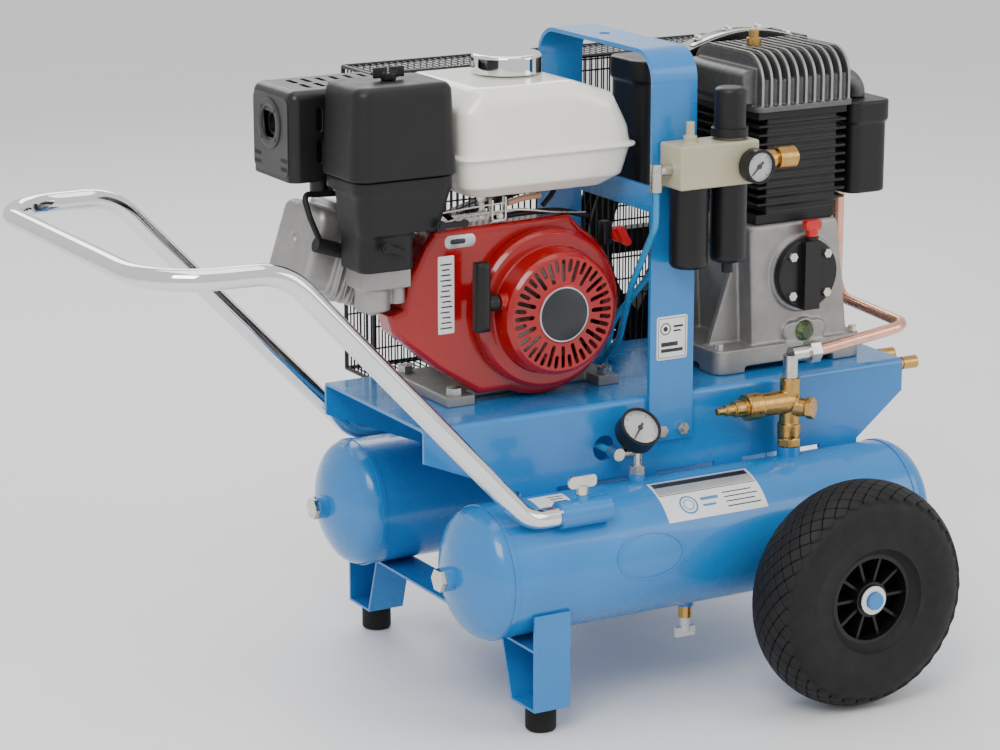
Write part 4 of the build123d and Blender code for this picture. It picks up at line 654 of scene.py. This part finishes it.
tank_ring(Shape(), 74, 10, 45, 21, 3.0, 0.9, 1.2, 64).piece("tank_oval", "blue_paint", angle=60)


# ------------------------------------------------------------------ pump head fins
FIN_Y0, FIN_Y1, FIN_LOW, FIN_HIGH, FIN_BEND = -83.0, 63.0, 669.0, 732.6, 34.0
FIN_COUNT, FIN_START, FIN_PITCH = 11, 318, 12.45
fin_line = [(FIN_Y0, FIN_LOW)]
for bend_y, start in ((FIN_Y0 + FIN_BEND, 180), (FIN_Y1 - FIN_BEND, 90)):
    for k in range(13):
        a = math.radians(start - 7.5 * k)
        fin_line.append((bend_y + FIN_BEND * math.cos(a), FIN_HIGH - FIN_BEND + FIN_BEND * math.sin(a)))
fin_line.append((FIN_Y1, FIN_LOW))
centre_y, centre_z = (FIN_Y0 + FIN_Y1) / 2, 690.0
edges = Shape()
for i in range(FIN_COUNT):
    x = FIN_START + i * FIN_PITCH
    rings = []
    for y, z in fin_line:
        inward = Vector((centre_y - y, centre_z - z)).normalized() * 0.9
        outward = inward * -0.35
        rings.append([(x + 0.2, y + outward.x, z + outward.y), (x + 3.3, y + outward.x, z + outward.y),
                      (x + 3.3, y + inward.x, z + inward.y), (x + 0.2, y + inward.x, z + inward.y)])
    edges.loops(rings)
edges.piece("pump_head_fin_edges", "cast_aluminium", slot="dark_aluminium")


# ------------------------------------------------------------------ exhaust face
def ringed_plate(shape, outline, hole, place, h0, h1):
    """Flat plate with a round hole; outline and hole have equal counts."""
    rings = [[place @ Vector((x, y, h)) for x, y in loop]
             for loop, h in ((outline, h0), (outline, h1), (hole, h1), (hole, h0))]
    return shape.loops(rings, closed=True)


face_at = basis((-260.4, 48, 670), (-1, 0, 0), (0, 1, 0))
outline = round_rect(88, 90, 10, 8)
hole = []
for x, y in outline:
    away = Vector((x - 2, y + 12)).normalized() * 19
    hole.append((2 + away.x, -12 + away.y))
face = ringed_plate(Shape(), outline, hole, face_at, 0, 1.2)
face.piece("exhaust_face", "guard_grey", slot="black_paint", angle=30)
PORT_Y, PORT_Z, PORT_BOLTS = 50, 682, 24.3
port = basis((-261.4, PORT_Y, PORT_Z), (-1, 0, 0), (0, 1, 0))
flange = Shape().lathe([(19.2, 0), (29, 0), (29, 1.6), (27.5, 2.4), (20.5, 2.4), (19.2, 1.4)], port, 48,
                       closed=True)
for k in range(4):
    a = math.radians(45 + 90 * k)
    at = (-263.6, PORT_Y + PORT_BOLTS * math.cos(a), PORT_Z + PORT_BOLTS * math.sin(a))
    flange.hexagon(basis(at, (-1, 0, 0)), 4.5, 1.6)
flange.piece("exhaust_flange", "guard_grey", slot="black_paint")
# Slots of the guard face: thin dark patches stand for the painted shade inside them; the openings are not
# cut.
slot_shade = Shape()
for y in (14, 82):
    for z in (634, 644):
        slot_shade.prism(round_rect(17, 4.5, 2.0), basis((-261.5, y, z), (-1, 0, 0), (0, 1, 0)), 0.25)
slot_shade.piece("exhaust_slot_shade", "black_rubber", slot="black_paint")


# ------------------------------------------------------------------ governor linkage
linkage = Shape()
linkage.tube(smooth_path([(-104, -53, 566), (-60, -53, 573), (0, -54, 574), (52, -53, 566),
                          (96, -50, 561)], 5), 1.2, 8)
linkage.tube(smooth_path([(-100, -56, 580), (-52, -56, 583), (-16, -55, 584)], 5), 1.1, 8)
linkage.box(-34, -14, -57, -50, 563, 566, 0.5)
linkage.box(-34, -31.5, -57, -50, 564, 589, 0.5)
linkage.box(-16.5, -14, -57, -50, 564, 591, 0.5)
linkage.hexagon(basis((-24, -57, 570), (0, -1, 0)), 6, 3, 4)
coil = []
for k in range(97):
    a = 2 * math.pi * k / 8
    coil.append((-82 + 0.42 * k, -55 + 2.6 * math.cos(a), 574 + 2.6 * math.sin(a)))
linkage.tube(coil, 0.5, 6)
linkage.piece("governor_linkage", "zinc")
Shape().tube(smooth_path([(-12, -54, 583), (10, -54, 587), (32, -53, 588)], 5), 3.6, 16).piece(
    "governor_sleeve", "tan_tube", slot="zinc")
dark = Shape()
dark.tube(smooth_path([(-28, -50, 566), (10, -48, 568), (60, -47, 566), (100, -48, 556)], 6), 3.4, 14)
dark.box(-118, -104, -57, -50, 560, 584, 1.0)
dark.tube(smooth_path([(40, -46, 574), (52, -44, 584), (60, -40, 592)], 5), 3.0, 12)
dark.piece("governor_harness", "black_rubber")
mount = Shape()
mount.box(116, 128, -58, -44, 520, 548, 2.0)
mount.piece("switch_mount", "black_plastic")


# ------------------------------------------------------------------ starter rope
rope = Shape()
rope.tube([(-26 - 0.9 * k, -91, 478) for k in range(41)], 2.2, 12)
rope = rope.piece("starter_rope", "black_rubber", body=None)
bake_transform(rope)


# ------------------------------------------------------------------ camera, light and floor
CAMERA_AT = (-1.7488, -3.0912, 1.2894)
CAMERA_AZIMUTH, CAMERA_ELEVATION, CAMERA_LENS = -29.63, 14.58, 111.9
LIGHT_AIM = (0, 0, 0.35)


def set_camera():
    """Camera where the photograph was taken from."""
    data = bpy.data.cameras.new("camera")
    data.lens = CAMERA_LENS
    data.sensor_width = 36.0
    data.clip_end = 50.0
    camera = bpy.data.objects.new("camera", data)
    bpy.context.scene.collection.objects.link(camera)
    azimuth, elevation = math.radians(CAMERA_AZIMUTH), math.radians(CAMERA_ELEVATION)
    back = Vector((math.sin(azimuth) * math.cos(elevation), -math.cos(azimuth) * math.cos(elevation),
                   math.sin(elevation)))
    right = Vector((math.cos(azimuth), math.sin(azimuth), 0))
    turned = Matrix((right, back.cross(right), back)).transposed().to_4x4()
    camera.matrix_world = Matrix.Translation(CAMERA_AT) @ turned
    bpy.context.scene.camera = camera


def area_light(name, at, size, power):
    """Rectangular lamp that faces the object."""
    data = bpy.data.lights.new(name, "AREA")
    data.shape = "RECTANGLE"
    data.size, data.size_y = size
    data.energy = power
    light = bpy.data.objects.new(name, data)
    bpy.context.scene.collection.objects.link(light)
    toward = Vector(LIGHT_AIM) - Vector(at)
    light.matrix_world = Matrix.Translation(at) @ toward.to_track_quat("-Z", "Y").to_matrix().to_4x4()


set_camera()
area_light("key", (-1.6, -1.8, 2.6), (1.4, 1.4), 52)
area_light("fill", (2.4, -2.2, 1.6), (1.4, 2.0), 22)
area_light("back", (0.6, 2.6, 2.2), (2.4, 1.4), 36)
area_light("top", (0.1, 0.0, 3.2), (2.6, 2.0), 30)

world = bpy.data.worlds.new("studio")
bpy.context.scene.world = world
world.use_nodes = True
backdrop = world.node_tree.nodes["Background"]
backdrop.inputs["Color"].default_value = (1.0, 1.0, 1.0, 1)
backdrop.inputs["Strength"].default_value = 0.95

floor_mesh = bmesh.new()
bmesh.ops.create_grid(floor_mesh, x_segments=1, y_segments=1, size=14)
floor_data = bpy.data.meshes.new("floor")
floor_mesh.to_mesh(floor_data)
floor_mesh.free()
floor = bpy.data.objects.new("floor", floor_data)
floor.location = (0, 0, -0.0004)
bpy.context.scene.collection.objects.link(floor)
M["floor"] = material("floor", (0.86, 0.86, 0.86), 0.55, vary=0.01, scale=2, edge=0)
floor_data.materials.append(M["floor"])
